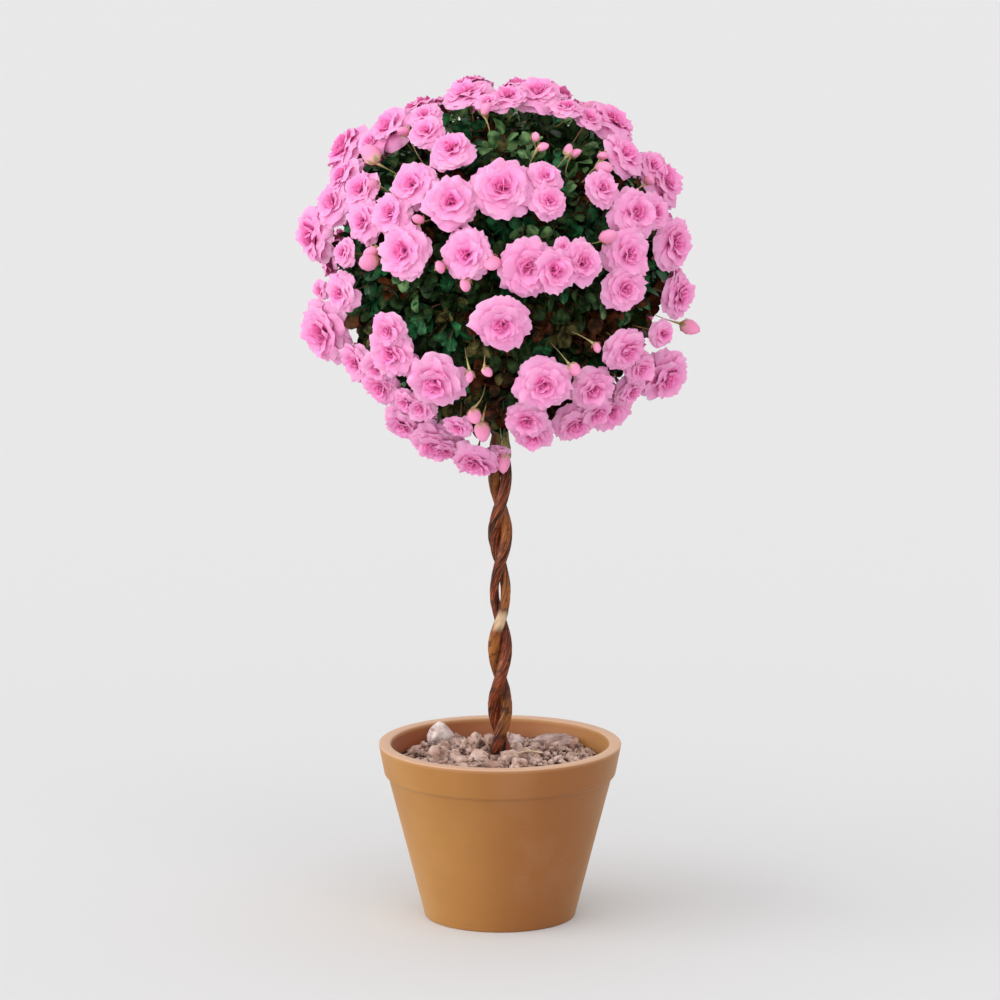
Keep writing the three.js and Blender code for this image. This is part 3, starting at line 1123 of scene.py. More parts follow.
@dataclass
class Stem:
    """Two shoots twined round each other, and the union on top of them.

    Attributes:
        golden: Spots of golden bark: height in mm, side (1 right, -1 left) and strength.
    """

    pitch: float = 125.7 * MM
    front_crossing: float = 198.2 * MM
    shoot_radius: float = 6.1 * MM
    twine_radius: float = 6.4 * MM
    flare: float = 1.8 * MM
    flare_height: float = 16 * MM
    taper: float = 0.06
    sides: int = 36
    steps: int = 300
    thicker: float = 0.6 * MM
    ridge: float = 0.4 * MM
    swelling: float = 0.6 * MM
    waist: float = 355 * MM
    waist_spread: float = 24 * MM
    waist_depth: float = 0.26
    bare_spread: float = 9 * MM
    golden: tuple[tuple[float, float, float], ...] = (
        (222, 1, 0.8), (293, -1, 1.0), (355, 1, 0.7), (425, 1, 0.5), (480, -1, 0.5),
    )
    golden_spread: float = 20.0
    bark: BarkFinish = BarkFinish(colour(112, 43, 15), colour(30, 9, 3), colour(200, 116, 66))
    green_bark: BarkFinish = BarkFinish(
        colour(158, 144, 88), colour(104, 86, 46), colour(196, 182, 128), colour(112, 58, 32),
        roughness=0.6,
    )

    def build(self) -> None:
        """Models both shoots and the union."""
        bark = self.bark.build("red_brown_bark")
        self._shoot("twined_shoot_1", "stem_shoot_1", 0.0, bark, bare=0.325)
        self._shoot("twined_shoot_2", "stem_shoot_2", math.pi, bark, bare=0.0)
        self._union()

    def _turn(self, height: Any) -> Any:
        """Gives how far round the first shoot is at each height, from its front crossing."""
        return (height - self.front_crossing) / self.pitch * TURN

    def _screwed(self, name: str, low: float, high: float, turn_from: float) -> Piece:
        """Models one shoot as a ring that is screwed upwards and closed at both ends.

        Args:
            name: The piece's name.
            low: Height of its foot.
            high: Height of its top.
            turn_from: How far round from the first shoot it starts.

        Returns:
            The new object.
        """
        turn = self._turn(low) + turn_from
        shoot = primitive(
            bpy.ops.mesh.primitive_circle_add,
            name,
            vertices=self.sides,
            radius=self.shoot_radius,
            location=(self.twine_radius * math.sin(turn), -self.twine_radius * math.cos(turn), low),
            fill_type="NOTHING",
        )
        settle(shoot)
        screw = shoot.modifiers.new("twine", "SCREW")
        screw.axis = "Z"
        screw.angle = (high - low) / self.pitch * TURN
        screw.screw_offset = high - low
        screw.steps = screw.render_steps = self.steps
        apply_modifiers(shoot)
        bpy.ops.object.mode_set(mode="EDIT")
        bpy.ops.mesh.select_mode(type="EDGE")
        bpy.ops.mesh.select_all(action="DESELECT")
        bpy.ops.mesh.select_non_manifold()
        bpy.ops.mesh.edge_face_add()
        bpy.ops.object.mode_set(mode="OBJECT")
        face_outwards(shoot)
        return shoot

    def _shoot(self, name: str, node: str, turn_from: float, bark: Material, bare: float) -> None:
        """Models one shoot with its taper, its bark's relief and its marks.

        Args:
            name: The piece's name.
            node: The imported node.
            turn_from: How far round from the first shoot it starts.
            bark: The material.
            bare: Height of a bare patch on its front, or 0 for none.
        """
        low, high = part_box(node)
        shoot = self._screwed(name, low.z, high.z, turn_from)
        points = points_of(shoot)
        height, radius = points[:, 2], self.shoot_radius
        turn = self._turn(height) + turn_from
        middle = np.column_stack([np.sin(turn), -np.cos(turn)]) * self.twine_radius
        aside = points[:, :2] - middle
        grain_turn = np.arctan2(aside[:, 1], aside[:, 0]) - 0.9 * turn
        grain = np.column_stack([radius * np.cos(grain_turn), radius * np.sin(grain_turn), height])
        ridges = rough(grain * np.array([1, 1, 0.12]), 420, turn_from + 2, 3)
        swell = rough(grain * np.array([0.3, 0.3, 1]), 26, turn_from + 5, 2)
        share = (height - low.z) / (high.z - low.z)
        spread = self.flare * np.maximum(0, 1 - (height - low.z) / self.flare_height)
        waist = np.exp(-(((height - self.waist) / self.waist_spread) ** 2))
        size = radius * (1 - self.taper * share) * (1 - self.waist_depth * waist)
        size += self.thicker + 0.2 * spread + self.ridge * ridges + self.swelling * swell
        out = 1 - 0.05 * waist + 0.1 * spread / self.twine_radius
        points[:, :2] = middle * out[:, None] + unit(aside) * size[:, None]
        move_points(shoot, points)
        smooth(shoot, 60)
        patch = 0 * height
        if bare:
            front = np.clip(-aside[:, 1] / radius * 1.6 - 0.2, 0, 1)
            patch = front * np.clip(1.4 - np.abs(height - bare) / self.bare_spread, 0, 1)
        store(shoot, "grain", grain)
        store(shoot, "patch", np.clip(0.9 * patch + 0.5 * patch * ridges, 0, 0.95))
        store(shoot, "gold", self._gold(height / MM, points[:, 0] / self.twine_radius))
        hand_over(shoot, bark, "stem_bark", node)

    def _gold(self, height: Array, side: Array) -> Array:
        """Gives how golden the bark is at each height in mm and each place from left to right."""
        gold = 0 * height
        for middle, way, strength in self.golden:
            near = np.exp(-(((height - middle) / self.golden_spread) ** 2))
            gold += strength * near * (side * way > 0.1)
        return gold

    def _union(self) -> None:
        """Models the swollen green union with its grooves and its browned side."""
        low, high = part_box("stem_union")
        tall = high.z - low.z
        section = [(high.x * width, low.z + share * tall) for share, width in UNION_OUTLINE]
        union = turned("green_union", 48, "NGON", section)
        rounded = union.modifiers.new("rounded", "SUBSURF")
        rounded.levels = rounded.render_levels = 2
        apply_modifiers(union)
        points = points_of(union)
        around = unit(points * np.array([1, 1, 0]))
        relief = rough(points * np.array([1, 1, 0.2]), 260, 6.0) * 0.7 * MM
        groove = 1.2 * MM * np.cos(2 * np.arctan2(points[:, 1], points[:, 0]) + 0.8)
        points += around * (relief + groove - 0.9 * MM)[:, None]
        move_points(union, points)
        activate(union)
        bpy.ops.object.shade_smooth()
        brown = np.clip(0.8 - (points[:, 0] + 5 * MM) / (3 * MM), 0, 1)
        foot = np.clip((low.z + 3 * MM - points[:, 2]) / (3 * MM), 0, 1)
        store(union, "grain", points)
        store(union, "gold", 0 * points[:, 0])
        store(union, "patch", 0.9 * np.maximum(brown, foot))
        hand_over(union, self.green_bark.build("green_bark"), "stem_union", "stem_union")


# ---------------------------------------------------------------- crown


@dataclass
class Crown:
    """The crown's ball: where its middle is and how far its uneven surface reaches."""

    def __post_init__(self) -> None:
        """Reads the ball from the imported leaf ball."""
        low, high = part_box("leaf_ball")
        self.middle = np.array((low + high) / 2)
        surface = points_of(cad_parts["leaf_ball"]) - self.middle
        self.reach = np.linalg.norm(surface, axis=1)
        self.ways = unit(surface)
        self.foot = float(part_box("stem_union")[1].z)

    def radius(self, ways: Array) -> Array:
        """Gives how far the ball reaches in each direction."""
        near = np.argpartition(-(ways @ self.ways.T), 4, axis=1)[:, :4]
        return self.reach[near].mean(axis=1)


@dataclass(frozen=True)
class LimbOrder:
    """One order of limbs.

    Attributes:
        count: How many there are.
        reach: Where they end, as a share of the ball's radius.
        jitter: How unevenly they are spread.
        lift: How far they bend upwards, as a share of their length.
        steps: How many points each has.
        foot: Radius at its foot.
        tip: Radius at its tip.
        sides: How many sides each has.
    """

    count: int
    reach: float
    jitter: float
    lift: float
    steps: int
    foot: float
    tip: float
    sides: int


@dataclass
class Limbs:
    """Boughs and twigs that fork from the union by a seeded rule and end in the leaf sprays."""

    crown: Crown
    orders: tuple[LimbOrder, ...] = (
        LimbOrder(11, 0.42, 0.08, 0.2, 12, 4.4 * MM, 2.6 * MM, 10),
        LimbOrder(64, 0.7, 0.05, 0.1, 8, 2.5 * MM, 1.3 * MM, 8),
        LimbOrder(760, 0.93, 0.02, 0.12, 6, 1.2 * MM, 0.6 * MM, 5),
    )
    below_union_top: float = 2 * MM
    wobble: float = 0.7 * MM
    seed: int = 21

    def build(self) -> Array:
        """Grows the limbs and hands them over.

        Returns:
            The twigs' paths, each from its foot to its tip.
        """
        rng = np.random.default_rng(self.seed)
        bases = np.array([[0.0, 0.0, self.crown.foot - self.below_union_top]])
        paths = []
        for order in self.orders:
            ways = sphere_directions(order.count, order.jitter, rng)
            reach = self.crown.radius(ways) * order.reach * rng.uniform(0.94, 1.05, order.count)
            ends = self.crown.middle + ways * reach[:, None]
            starts = bases[np.linalg.norm(ends[:, None] - bases[None], axis=2).argmin(axis=1)]
            span = np.linalg.norm(ends - starts, axis=1, keepdims=True)
            bends = (starts + ends) / 2 + UP * order.lift * span
            paths.append(bent_paths(starts, ends, bends, order.steps))
            bases = ends
        twigs = paths[-1]
        looser = np.linspace(0, 1, twigs.shape[1])[:, None]
        twigs += rng.normal(0, self.wobble, twigs.shape) * looser
        bark = BarkFinish(
            colour(104, 66, 40), colour(52, 30, 16), colour(140, 110, 70), roughness=0.6
        ).build("bough_bark")
        shapes = [self._wood(order, path) for order, path in zip(self.orders, paths)]
        for name, shape in (("boughs", joined(shapes[:-1])), ("twigs", shapes[-1])):
            piece = mesh_piece(name, *shape)
            store(piece, "grain", shape[0])
            for mark in ("patch", "gold"):
                store(piece, mark, np.zeros(len(shape[0])))
            hand_over(piece, bark, "stem_bark")
        return twigs

    @staticmethod
    def _wood(order: LimbOrder, paths: Array) -> Shape:
        """Gives the tapering tubes of one order of limbs."""
        radii = np.tile(np.linspace(order.foot, order.tip, order.steps), (order.count, 1))
        return tubes(paths, radii, order.sides)


@dataclass
class Leaves:
    """Sprays of small toothed leaves round every twig's end, and shaded leaves inside them.

    Attributes:
        shares: For each tint its share of the sprays and how much it leans to the crown's top.
        outline: Along the leaf's blade, how far along and half how wide it is.
        bends: For each kind of leaf how far its tip bends down and how far its sides rise.
    """

    crown: Crown
    per_spray: int = 9
    longest: float = 25 * MM
    shortest: float = 15 * MM
    spray_depth: float = 36 * MM
    inner: int = 900
    shares: tuple[tuple[Tint, float, float], ...] = (
        (Tint.GREEN, 0.5, 0.6), (Tint.EMERALD, 0.22, 0.8), (Tint.OLIVE, 0.12, -0.5),
        (Tint.BRONZE, 0.13, -1.0), (Tint.YOUNG, 0.05, 3.2),
    )
    drift: float = 2.6
    droop: float = 0.22
    outline: tuple[tuple[float, float], ...] = (
        (0.0, 0.02), (0.1, 0.24), (0.24, 0.345), (0.38, 0.43), (0.52, 0.415),
        (0.66, 0.41), (0.8, 0.3), (0.92, 0.19), (1.0, 0.0),
    )
    bends: tuple[tuple[float, float], ...] = ((0.12, 0.1), (0.3, 0.25), (-0.08, 0.3), (0.45, 0.05))
    seed: int = 31

    def blade(self, curl: float, fold: float) -> tuple[Array, Array, Array]:
        """Draws one leaf of length 1: a broad blade with toothed edges, on a short stalk.

        Args:
            curl: How far the tip bends down.
            fold: How far the sides rise from the rib.

        Returns:
            Its points, its triangles, and which points lie on the rib.
        """
        points, rib = [], []
        for along, width in self.outline:
            drop = -curl * along**2
            points += [(-width, along + 0.03, drop + fold * width), (0, along, drop)]
            points += [(width, along + 0.03, drop + fold * width)]
            rib += [0.0, 1.0, 0.0]
        triangles = []
        for row in range(len(self.outline) - 1):
            left, mid, right = 3 * row, 3 * row + 1, 3 * row + 2
            triangles += [(left, mid, left + 3), (mid, mid + 3, left + 3)]
            triangles += [(mid, right, mid + 3), (right, right + 3, mid + 3)]
        stalk = len(points)
        points += [(-0.02, -0.22, -0.06), (0.02, -0.22, -0.06)]
        rib += [1.0, 1.0]
        triangles += [(stalk, stalk + 1, 0), (stalk + 1, 2, 0)]
        return np.array(points), np.array(triangles), np.array(rib)

    def build(self, twigs: Array) -> None:
        """Grows a spray on every twig, deals the tints and fills the inside.

        Args:
            twigs: The twigs' paths.
        """
        rng = np.random.default_rng(self.seed)
        tips = twigs[:, -1]
        ways = unit(tips - self.crown.middle)
        dealt = self._deal(tips, ways, rng)
        leaves = self._spray(tips, ways, rng)
        for number, (tint, _, _) in enumerate(self.shares):
            mine = dealt == number
            self._piece(tint, *(rows[mine].reshape(-1, rows.shape[-1]) for rows in leaves), rng)
        # Near-black leaves inside the ball: painted shade where the sprays hide the light.
        ways = sphere_directions(self.inner, 0.05, rng)
        reach = self.crown.radius(ways) * rng.uniform(0.62, 0.8, self.inner)
        start = self.crown.middle + ways * reach[:, None]
        along = unit(np.cross(ways, rng.normal(size=ways.shape)))
        size = rng.uniform(1.1, 1.5, self.inner)[:, None] * self.longest
        face = ways + rng.normal(0, 0.3, along.shape)
        self._piece(Tint.SHADE, along, face, start, size, rng)

    def _deal(self, tips: Array, ways: Array, rng: Chance) -> Array:
        """Deals a tint's number to each spray, in drifts.

        Args:
            tips: Where the sprays are.
            ways: Their directions from the ball's middle.
            rng: The source of chance.

        Returns:
            For each spray the number of its tint.
        """
        drifts = [rough(tips, 14, 3.0 * kind + 1, 2) for kind in range(len(self.shares))]
        lean = np.array([lean for _, _, lean in self.shares])[:, None] * ways[None, :, 2]
        share = np.array([share for _, share, _ in self.shares])[:, None]
        likely = share * np.exp(self.drift * np.stack(drifts) + lean)
        pick = rng.random(len(tips)) * likely.sum(axis=0) * 0.999999
        return (pick > np.cumsum(likely, axis=0)).sum(axis=0)

    def _spray(self, tips: Array, ways: Array, rng: Chance) -> tuple[Array, ...]:
        """Sets the leaves of each spray round its twig's end.

        Args:
            tips: The twigs' ends.
            ways: Their directions from the ball's middle.
            rng: The source of chance.

        Returns:
            For each spray and leaf the way it points, the way its face turns, its start and size.
        """
        sprays = len(tips)
        order = np.arange(self.per_spray) / (self.per_spray - 1)
        turn = GOLDEN_ANGLE * np.arange(self.per_spray)[None]
        turn = turn + rng.uniform(0, ABOUT_A_TURN, (sprays, 1))
        turn = turn + rng.normal(0, 0.25, turn.shape)
        back = order[None] * self.spray_depth * rng.uniform(0.8, 1.1, (sprays, 1))
        rise = np.radians(62 - 50 * order)[None] + rng.normal(0, 0.3, turn.shape)
        size = rng.uniform(self.shortest, self.longest, turn.shape) * (0.78 + 0.22 * order)[None]
        level = unit(np.cross(ways, UP + rng.normal(0, 0.01, ways.shape)))
        over = np.cross(ways, level)
        aside = np.cos(turn)[..., None] * level[:, None] + np.sin(turn)[..., None] * over[:, None]
        outward = np.broadcast_to(ways[:, None], aside.shape)
        along = np.cos(rise)[..., None] * aside + np.sin(rise)[..., None] * outward
        along = along - self.droop * UP
        face = outward + rng.normal(0, 0.5, outward.shape) + 0.2 * UP
        start = tips[:, None] - back[..., None] * outward + aside * 3 * MM
        return along, face, start, size[..., None]

    def _piece(
        self, tint: Tint, along: Array, face: Array, start: Array, size: Array, rng: Chance
    ) -> None:
        """Makes the joined leaves of one tint.

        Args:
            tint: The tint.
            along: The way that each leaf points.
            face: The way that its upper side turns.
            start: Where its blade begins.
            size: Its length.
            rng: The source of chance.
        """
        kinds = [self.blade(curl, fold) for curl, fold in self.bends]
        which = rng.integers(0, len(kinds), len(along))
        shapes = np.array([points for points, _, _ in kinds])[which] * size[:, :, None]
        shapes[:, :, 0] *= rng.uniform(0.85, 1.1, (len(along), 1))
        _, triangles, rib = kinds[0]
        points, faces = copies(shapes, triangles, side_frames(along, face), start)
        piece = mesh_piece(f"leaves_{tint.value}", points, faces)
        store(piece, "rib", np.tile(rib, len(along)))
        hand_over(piece, LEAF_FINISHES[tint].build(f"leaf_{tint.value}"), "leaves", "leaf_ball")


# ---------------------------------------------------------------- blossom


@dataclass(frozen=True)
class PetalRing:
    """One ring of a flower's petals, in shares of the flower's radius, with slopes in degrees."""

    group: str
    count: int
    length: float
    half_width: float
    foot_slope: float
    tip_slope: float
    lift: float
    cup: float
    ruffle: float


RINGS = (
    PetalRing("outer", 9, 1.2, 0.5, 70, -42, 0.0, -0.05, 0.03),
    PetalRing("outer", 8, 1.12, 0.47, 78, -26, 0.02, 0.0, 0.035),
    PetalRing("middle", 8, 1.0, 0.42, 84, -12, 0.04, 0.05, 0.04),
    PetalRing("middle", 7, 0.88, 0.37, 88, 4, 0.07, 0.08, 0.04),
    PetalRing("heart", 6, 0.76, 0.31, 92, 34, 0.08, 0.12, 0.035),
    PetalRing("heart", 5, 0.66, 0.3, 96, 84, 0.09, 0.2, 0.03),
    PetalRing("heart", 4, 0.6, 0.26, 98, 142, 0.11, 0.24, 0.03),
)

PETAL_FINISHES = {
    "outer": PetalFinish(colour(255, 192, 170), colour(255, 162, 222), colour(255, 198, 232)),
    "middle": PetalFinish(colour(254, 150, 210), colour(255, 157, 219), colour(255, 190, 230)),
    "heart": PetalFinish(colour(254, 130, 201), colour(255, 148, 215), colour(255, 180, 229)),
}

# Flowers that face the front: degrees round from the front, degrees up, reach and width in mm.
FRONT_FLOWERS = (
    (-39, 72, 200, 55), (-94, 36, 209, 64), (-69, 50, 200, 51), (-50, 58, 200, 34),
    (-39, 51, 200, 43), (-22, 45, 200, 51), (-34, 32, 200, 53), (-17, 27, 200, 58),
    (-57, 28, 200, 45), (-51, 18, 200, 47), (-39, 22, 200, 45), (-32, 11, 200, 58),
    (-78, 21, 200, 51), (-89, 9, 205, 62), (-57, 8, 200, 30), (-59, -5, 200, 43),
    (-85, -21, 207, 64), (-38, -14, 200, 40), (-39, -22, 200, 55), (-24, -31, 200, 64),
    (-62, -28, 200, 43), (-52, -36, 200, 45), (-73, -57, 203, 47), (-64, -67, 207, 60),
    (-22, -52, 200, 30), (-36, -77, 214, 58), (-7, -80, 204, 28), (0, 32, 200, 66),
    (16, 35, 200, 38), (16, 27, 200, 40), (-11, 11, 200, 55), (8, 7, 200, 64), (16, 6, 200, 55),
    (19, 13, 200, 21), (25, 8, 200, 47), (0, -11, 200, 60), (15, -31, 200, 62), (11, -47, 200, 45),
    (18, -58, 200, 45), (42, -54, 200, 53), (63, -49, 200, 51), (36, -35, 200, 51),
    (45, -22, 200, 51), (42, 9, 200, 51), (40, -1, 200, 49), (49, 21, 200, 55), (38, 30, 200, 40),
    (60, 40, 200, 51), (78, 52, 200, 62), (46, 62, 200, 38), (56, 56, 200, 32), (80, 29, 200, 62),
    (60, 20, 200, 38), (69, 9, 200, 55), (76, -8, 200, 47), (63, -18, 200, 28), (82, -34, 213, 60),
    (62, -39, 200, 38), (-75, -6, 200, 21), (-48, -28, 200, 36), (-36, -43, 200, 36),
    (-73, 43, 200, 34), (-42, -41, 200, 34), (-59, -70, 209, 34), (-78, 30, 200, 47),
    (57, -29, 200, 36), (49, -48, 200, 38), (74, 34, 200, 36), (5, 71, 200, 43), (38, 72, 200, 53),
    (-11, 67, 200, 28),
)

# Buds that face the front, in the same terms.
FRONT_BUDS = (
    (-62, 39, 196, 19), (-54, 50, 196, 15), (-52, 30, 196, 15), (-28, 21, 196, 15),
    (-44, 10, 196, 17), (-44, 7, 196, 19), (-19, 7, 196, 16), (-3, 9, 196, 19), (-11, 2, 196, 16),
    (-11, 63, 196, 16), (16, 50, 196, 12), (18, 46, 196, 13), (29, 44, 196, 13), (32, 43, 196, 13),
    (45, 41, 196, 14), (42, 37, 196, 18), (35, 15, 196, 19), (-11, -28, 196, 14),
    (-5, -26, 196, 13), (-12, -45, 196, 17), (-10, -53, 196, 18), (3, -80, 207, 19),
    (25, -26, 196, 16), (32, -19, 196, 13), (85, -18, 207, 18), (65, 30, 196, 13),
)


def aim(around: Array, up: Array) -> Array:
    """Gives the directions that lie some degrees round from the front and some degrees up."""
    around, up = np.radians(around), np.radians(up)
    level = np.cos(up)
    return np.stack([level * np.sin(around), -level * np.cos(around), np.sin(up)], axis=-1)


def chance_frames(facing: Array, rng: Chance) -> Array:
    """Builds frames whose last axis looks the given way and whose turn is left to chance."""
    level = unit(np.cross(facing, rng.normal(size=facing.shape)))
    return np.stack([level, np.cross(facing, level), facing], axis=-2)


@dataclass(frozen=True)
class StalkStyle:
    """How a kind of stalks and their sepals look.

    Attributes:
        finish: Their finish.
        swell: The stalk's radius at each of its points, in mm.
        sides: How many sides a stalk has.
        sepal: Foot, middle and tip of a sepal: how far out, half how wide, how high.
    """

    finish: GreenFinish
    swell: tuple[float, ...]
    sides: int
    sepal: tuple[Triple, Triple, Triple]


@dataclass
class Flower:
    """One flower: where its foot stands, the way it faces and its radius."""

    foot: Array
    facing: Array
    radius: float


@dataclass
class Blossom:
    """The double flowers, with their buds, sepals and stalks.

    Attributes:
        head_height: A flower's height, as a share of its radius.
        turn_to_front: How much a front flower turns to the front, more at the sides and below.
        back_spots: Where the flowers of a hidden mass stand, as shares of its length and width.
        hidden_beyond: Share of the way back from which gaps are filled.
        apart: How far apart the fillers stand, in degrees.
    """

    crown: Crown
    columns: int = 9
    rows: int = 6
    sepals: int = 5
    head_height: float = 0.85
    front_share: float = 0.51
    turn_to_front: tuple[float, float, float] = (0.12, 0.35, 0.5)
    back_spots: tuple[tuple[float, float], ...] = (
        (-0.3, -0.16), (0.24, -0.26), (0.02, 0.26), (0.36, 0.2),
    )
    back_width: float = 52 * MM
    back_buds: int = 30
    candidates: int = 260
    hidden_beyond: float = 0.22
    lowest: float = -0.86
    apart: float = 15.5
    bud_finish: PetalFinish = PetalFinish(
        colour(255, 222, 204), colour(255, 166, 208), colour(255, 172, 214)
    )
    flower_stalk: StalkStyle = StalkStyle(
        GreenFinish(colour(116, 112, 56), colour(150, 92, 52)),
        (0.7, 0.7, 0.7, 0.75, 0.9, 1.7, 2.6),
        7,
        ((0.05, 0.07, 0.0), (0.26, 0.08, 0.16), (0.46, 0.01, 0.4)),
    )
    bud_stalk: StalkStyle = StalkStyle(
        GreenFinish(colour(188, 186, 120), colour(206, 164, 124)),
        (0.5, 0.5, 0.5, 0.55, 0.65, 1.2, 2.0),
        6,
        ((0.1, 0.16, -0.06), (0.8, 0.26, 0.34), (1.0, 0.05, 0.9)),
    )
    seed: int = 41

    def build(self) -> None:
        """Places the flowers and buds, and makes every kind of their parts."""
        self.rng = np.random.default_rng(self.seed)
        nodes = sorted(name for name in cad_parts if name.startswith("blossom_"))
        always, sideways, below = self.turn_to_front
        flowers = []
        for around, up, reach, width in FRONT_FLOWERS:
            way = aim(around, up)
            edge = abs(way[0]) ** 3
            turn = always + sideways * edge + below * max(0.0, -way[2])
            radius = width * MM * self.front_share * (1 + 0.12 * edge)
            flowers.append(self._flower(way, way + np.array([0, -turn, 0]), reach * MM, radius))
        for node in nodes:
            if "_back_" in node:
                flowers += self._back_flowers(node)
        flowers += self._fillers(flowers)
        log.info("%d flowers", len(flowers))
        self._petals(flowers, nodes)
        self._flower_stalks(flowers)
        self._buds(flowers[len(FRONT_FLOWERS):])

    def _flower(self, way: Array, facing: Array, reach: float, radius: float) -> Flower:
        """Sets one flower with its face at the given reach.

        Args:
            way: The direction that it stands in, from the ball's middle.
            facing: The way that it looks, before it strays a little.
            reach: How far its face is from the ball's middle.
            radius: Its radius.

        Returns:
            The flower.
        """
        turned = unit(unit(facing) + self.rng.normal(0, 0.1, 3))
        radius = radius * self.rng.uniform(0.98, 1.06)
        face = self.crown.middle + way * reach
        return Flower(face - turned * self.head_height * radius * 0.8, turned, radius)

    def _back_flowers(self, node: str) -> list[Flower]:
        """Spreads several flowers over a packed mass of the hidden side.

        Args:
            node: The mass's node.

        Returns:
            Its flowers.
        """
        surface = points_of(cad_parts[node]) - self.crown.middle
        facing = unit(unit(surface).mean(axis=0))
        level = surface - (surface @ facing)[:, None] * facing
        _, _, axes = np.linalg.svd(level - level.mean(axis=0), full_matrices=False)
        long, short = axes[0], np.cross(facing, axes[0])
        top = np.linalg.norm(surface, axis=1).max()
        flowers = []
        for x, y in self.back_spots:
            aside = long * x * np.ptp(surface @ long) + short * y * np.ptp(surface @ short)
            way = unit(facing * top + aside)
            radius = self.back_width / 2 * self.rng.uniform(0.85, 1.15)
            flowers.append(self._flower(way, way, top - self.rng.uniform(8, 18) * MM, radius))
        return flowers

    def _fillers(self, flowers: list[Flower]) -> list[Flower]:
        """Sets flowers in the gaps that the hidden sides still have.

        Args:
            flowers: The flowers so far.

        Returns:
            The added ones.
        """
        taken = [unit(flower.foot - self.crown.middle) for flower in flowers]
        added = []
        for way in self.rng.permutation(sphere_directions(self.candidates, 0.06, self.rng)):
            apart = math.degrees(math.acos(min(1.0, float(np.max(np.array(taken) @ way)))))
            if way[1] > self.hidden_beyond and apart > self.apart and way[2] > self.lowest:
                radius = self.back_width / 2 * self.rng.uniform(0.8, 1.1)
                added.append(self._flower(way, way, self.rng.uniform(192, 204) * MM, radius))
                taken.append(way)
        return added

    def _petal_grid(self) -> tuple[Array, Array, Array]:
        """Gives a petal's grid: across from -1 to 1, along from 0 to 1, and its triangles."""
        across, along = np.meshgrid(np.linspace(-1, 1, self.columns), np.linspace(0, 1, self.rows))
        here = np.arange(self.rows * self.columns).reshape(self.rows, self.columns)
        a, b, c, d = here[:-1, :-1], here[:-1, 1:], here[1:, 1:], here[1:, :-1]
        halves = (np.stack(corners, -1).reshape(-1, 3) for corners in ([a, b, c], [a, c, d]))
        triangles = np.concatenate(list(halves))
        return across.ravel(), along.ravel(), triangles

    def _ring_shape(self, ring: PetalRing, across: Array, along: Array) -> Array:
        """Shapes the petals of one ring of one flower of radius 1.

        Args:
            ring: The ring.
            across: The grid's places across a petal.
            along: The grid's places along it.

        Returns:
            For each petal its points, with the flower's axis along +Z.
        """
        rng, count = self.rng, ring.count
        chance = lambda spread: rng.normal(0, spread, (count, 1))
        u, v = across[None], along[None]
        notch = 0.04 * np.exp(-((u / 0.3) ** 2)) * v**4
        length = ring.length * (1 + chance(0.06)) * (1 - 0.2 * np.abs(u) ** 3 * v**2 - notch)
        fringe = np.repeat(rng.normal(0, 1, (count, 1, self.columns)), self.rows, axis=1)
        length = length * (1 + 0.036 * fringe.reshape(count, -1) * v**3)
        swell = 0.16 + 0.84 * np.sin(np.clip(v / 0.72, 0, 1) * np.pi / 2)
        width = ring.half_width * (1 + chance(0.06)) * swell
        width = width * (1 - 0.22 * np.clip((v - 0.7) / 0.3, 0, 1) ** 2)
        foot = np.radians(ring.foot_slope + chance(5))
        tip = np.radians(ring.tip_slope + chance(9))
        slope = foot + (tip - foot) * v
        slopes = foot[..., None] + (tip - foot)[..., None] * np.linspace(0, 1, BEND_STEPS)
        index = np.clip((v * (BEND_STEPS - 1)).round().astype(int), 0, BEND_STEPS - 1)[0]
        out, up = (
            (np.cumsum(part, axis=-1) / BEND_STEPS)[:, 0, index] * length
            for part in (np.cos(slopes), np.sin(slopes))
        )
        aside = width * u
        lean = rng.normal(0, 0.12, (count, 1)) * v
        waves = rng.uniform(3.0, 5.0, (count, 1))
        folds = np.sin(u * waves + rng.uniform(0, ABOUT_A_TURN, (count, 1)))
        cup = ring.cup * u**2 * (0.3 + 0.7 * v) * ring.half_width
        lift = cup + ring.ruffle * folds * v**2 + lean * aside
        out = out - lift * np.sin(slope)
        up = up + lift * np.cos(slope) + ring.lift
        start = rng.uniform(0, ABOUT_A_TURN)
        turn = start + (np.arange(count)[:, None] + chance(0.1)) * TURN / count
        x = out * np.cos(turn) - aside * np.sin(turn)
        y = out * np.sin(turn) + aside * np.cos(turn)
        return np.stack([x, y, up], axis=-1)

    def _petals(self, flowers: list[Flower], nodes: list[str]) -> None:
        """Makes the petals, the rings of one group in one piece."""
        across, along, triangles = self._petal_grid()
        shapes: dict[str, list[Shape]] = {}
        for flower in flowers:
            frame_of_flower = chance_frames(flower.facing, self.rng)
            squash = self.rng.uniform(1.05, 1.3)
            for ring in RINGS:
                petals = self._ring_shape(ring, across, along) * flower.radius
                petals[..., 2] *= squash
                frames = np.repeat(frame_of_flower[None], ring.count, 0)
                feet = np.repeat(flower.foot[None], ring.count, 0)
                shapes.setdefault(ring.group, []).append(copies(petals, triangles, frames, feet))
        for group, parts in shapes.items():
            points, faces = joined(parts)
            piece = mesh_piece(f"petals_{group}", points, faces)
            store(piece, "along", np.tile(along, len(points) // len(along)))
            hand_over(piece, PETAL_FINISHES[group].build(f"petal_{group}"), "blossom", *nodes)

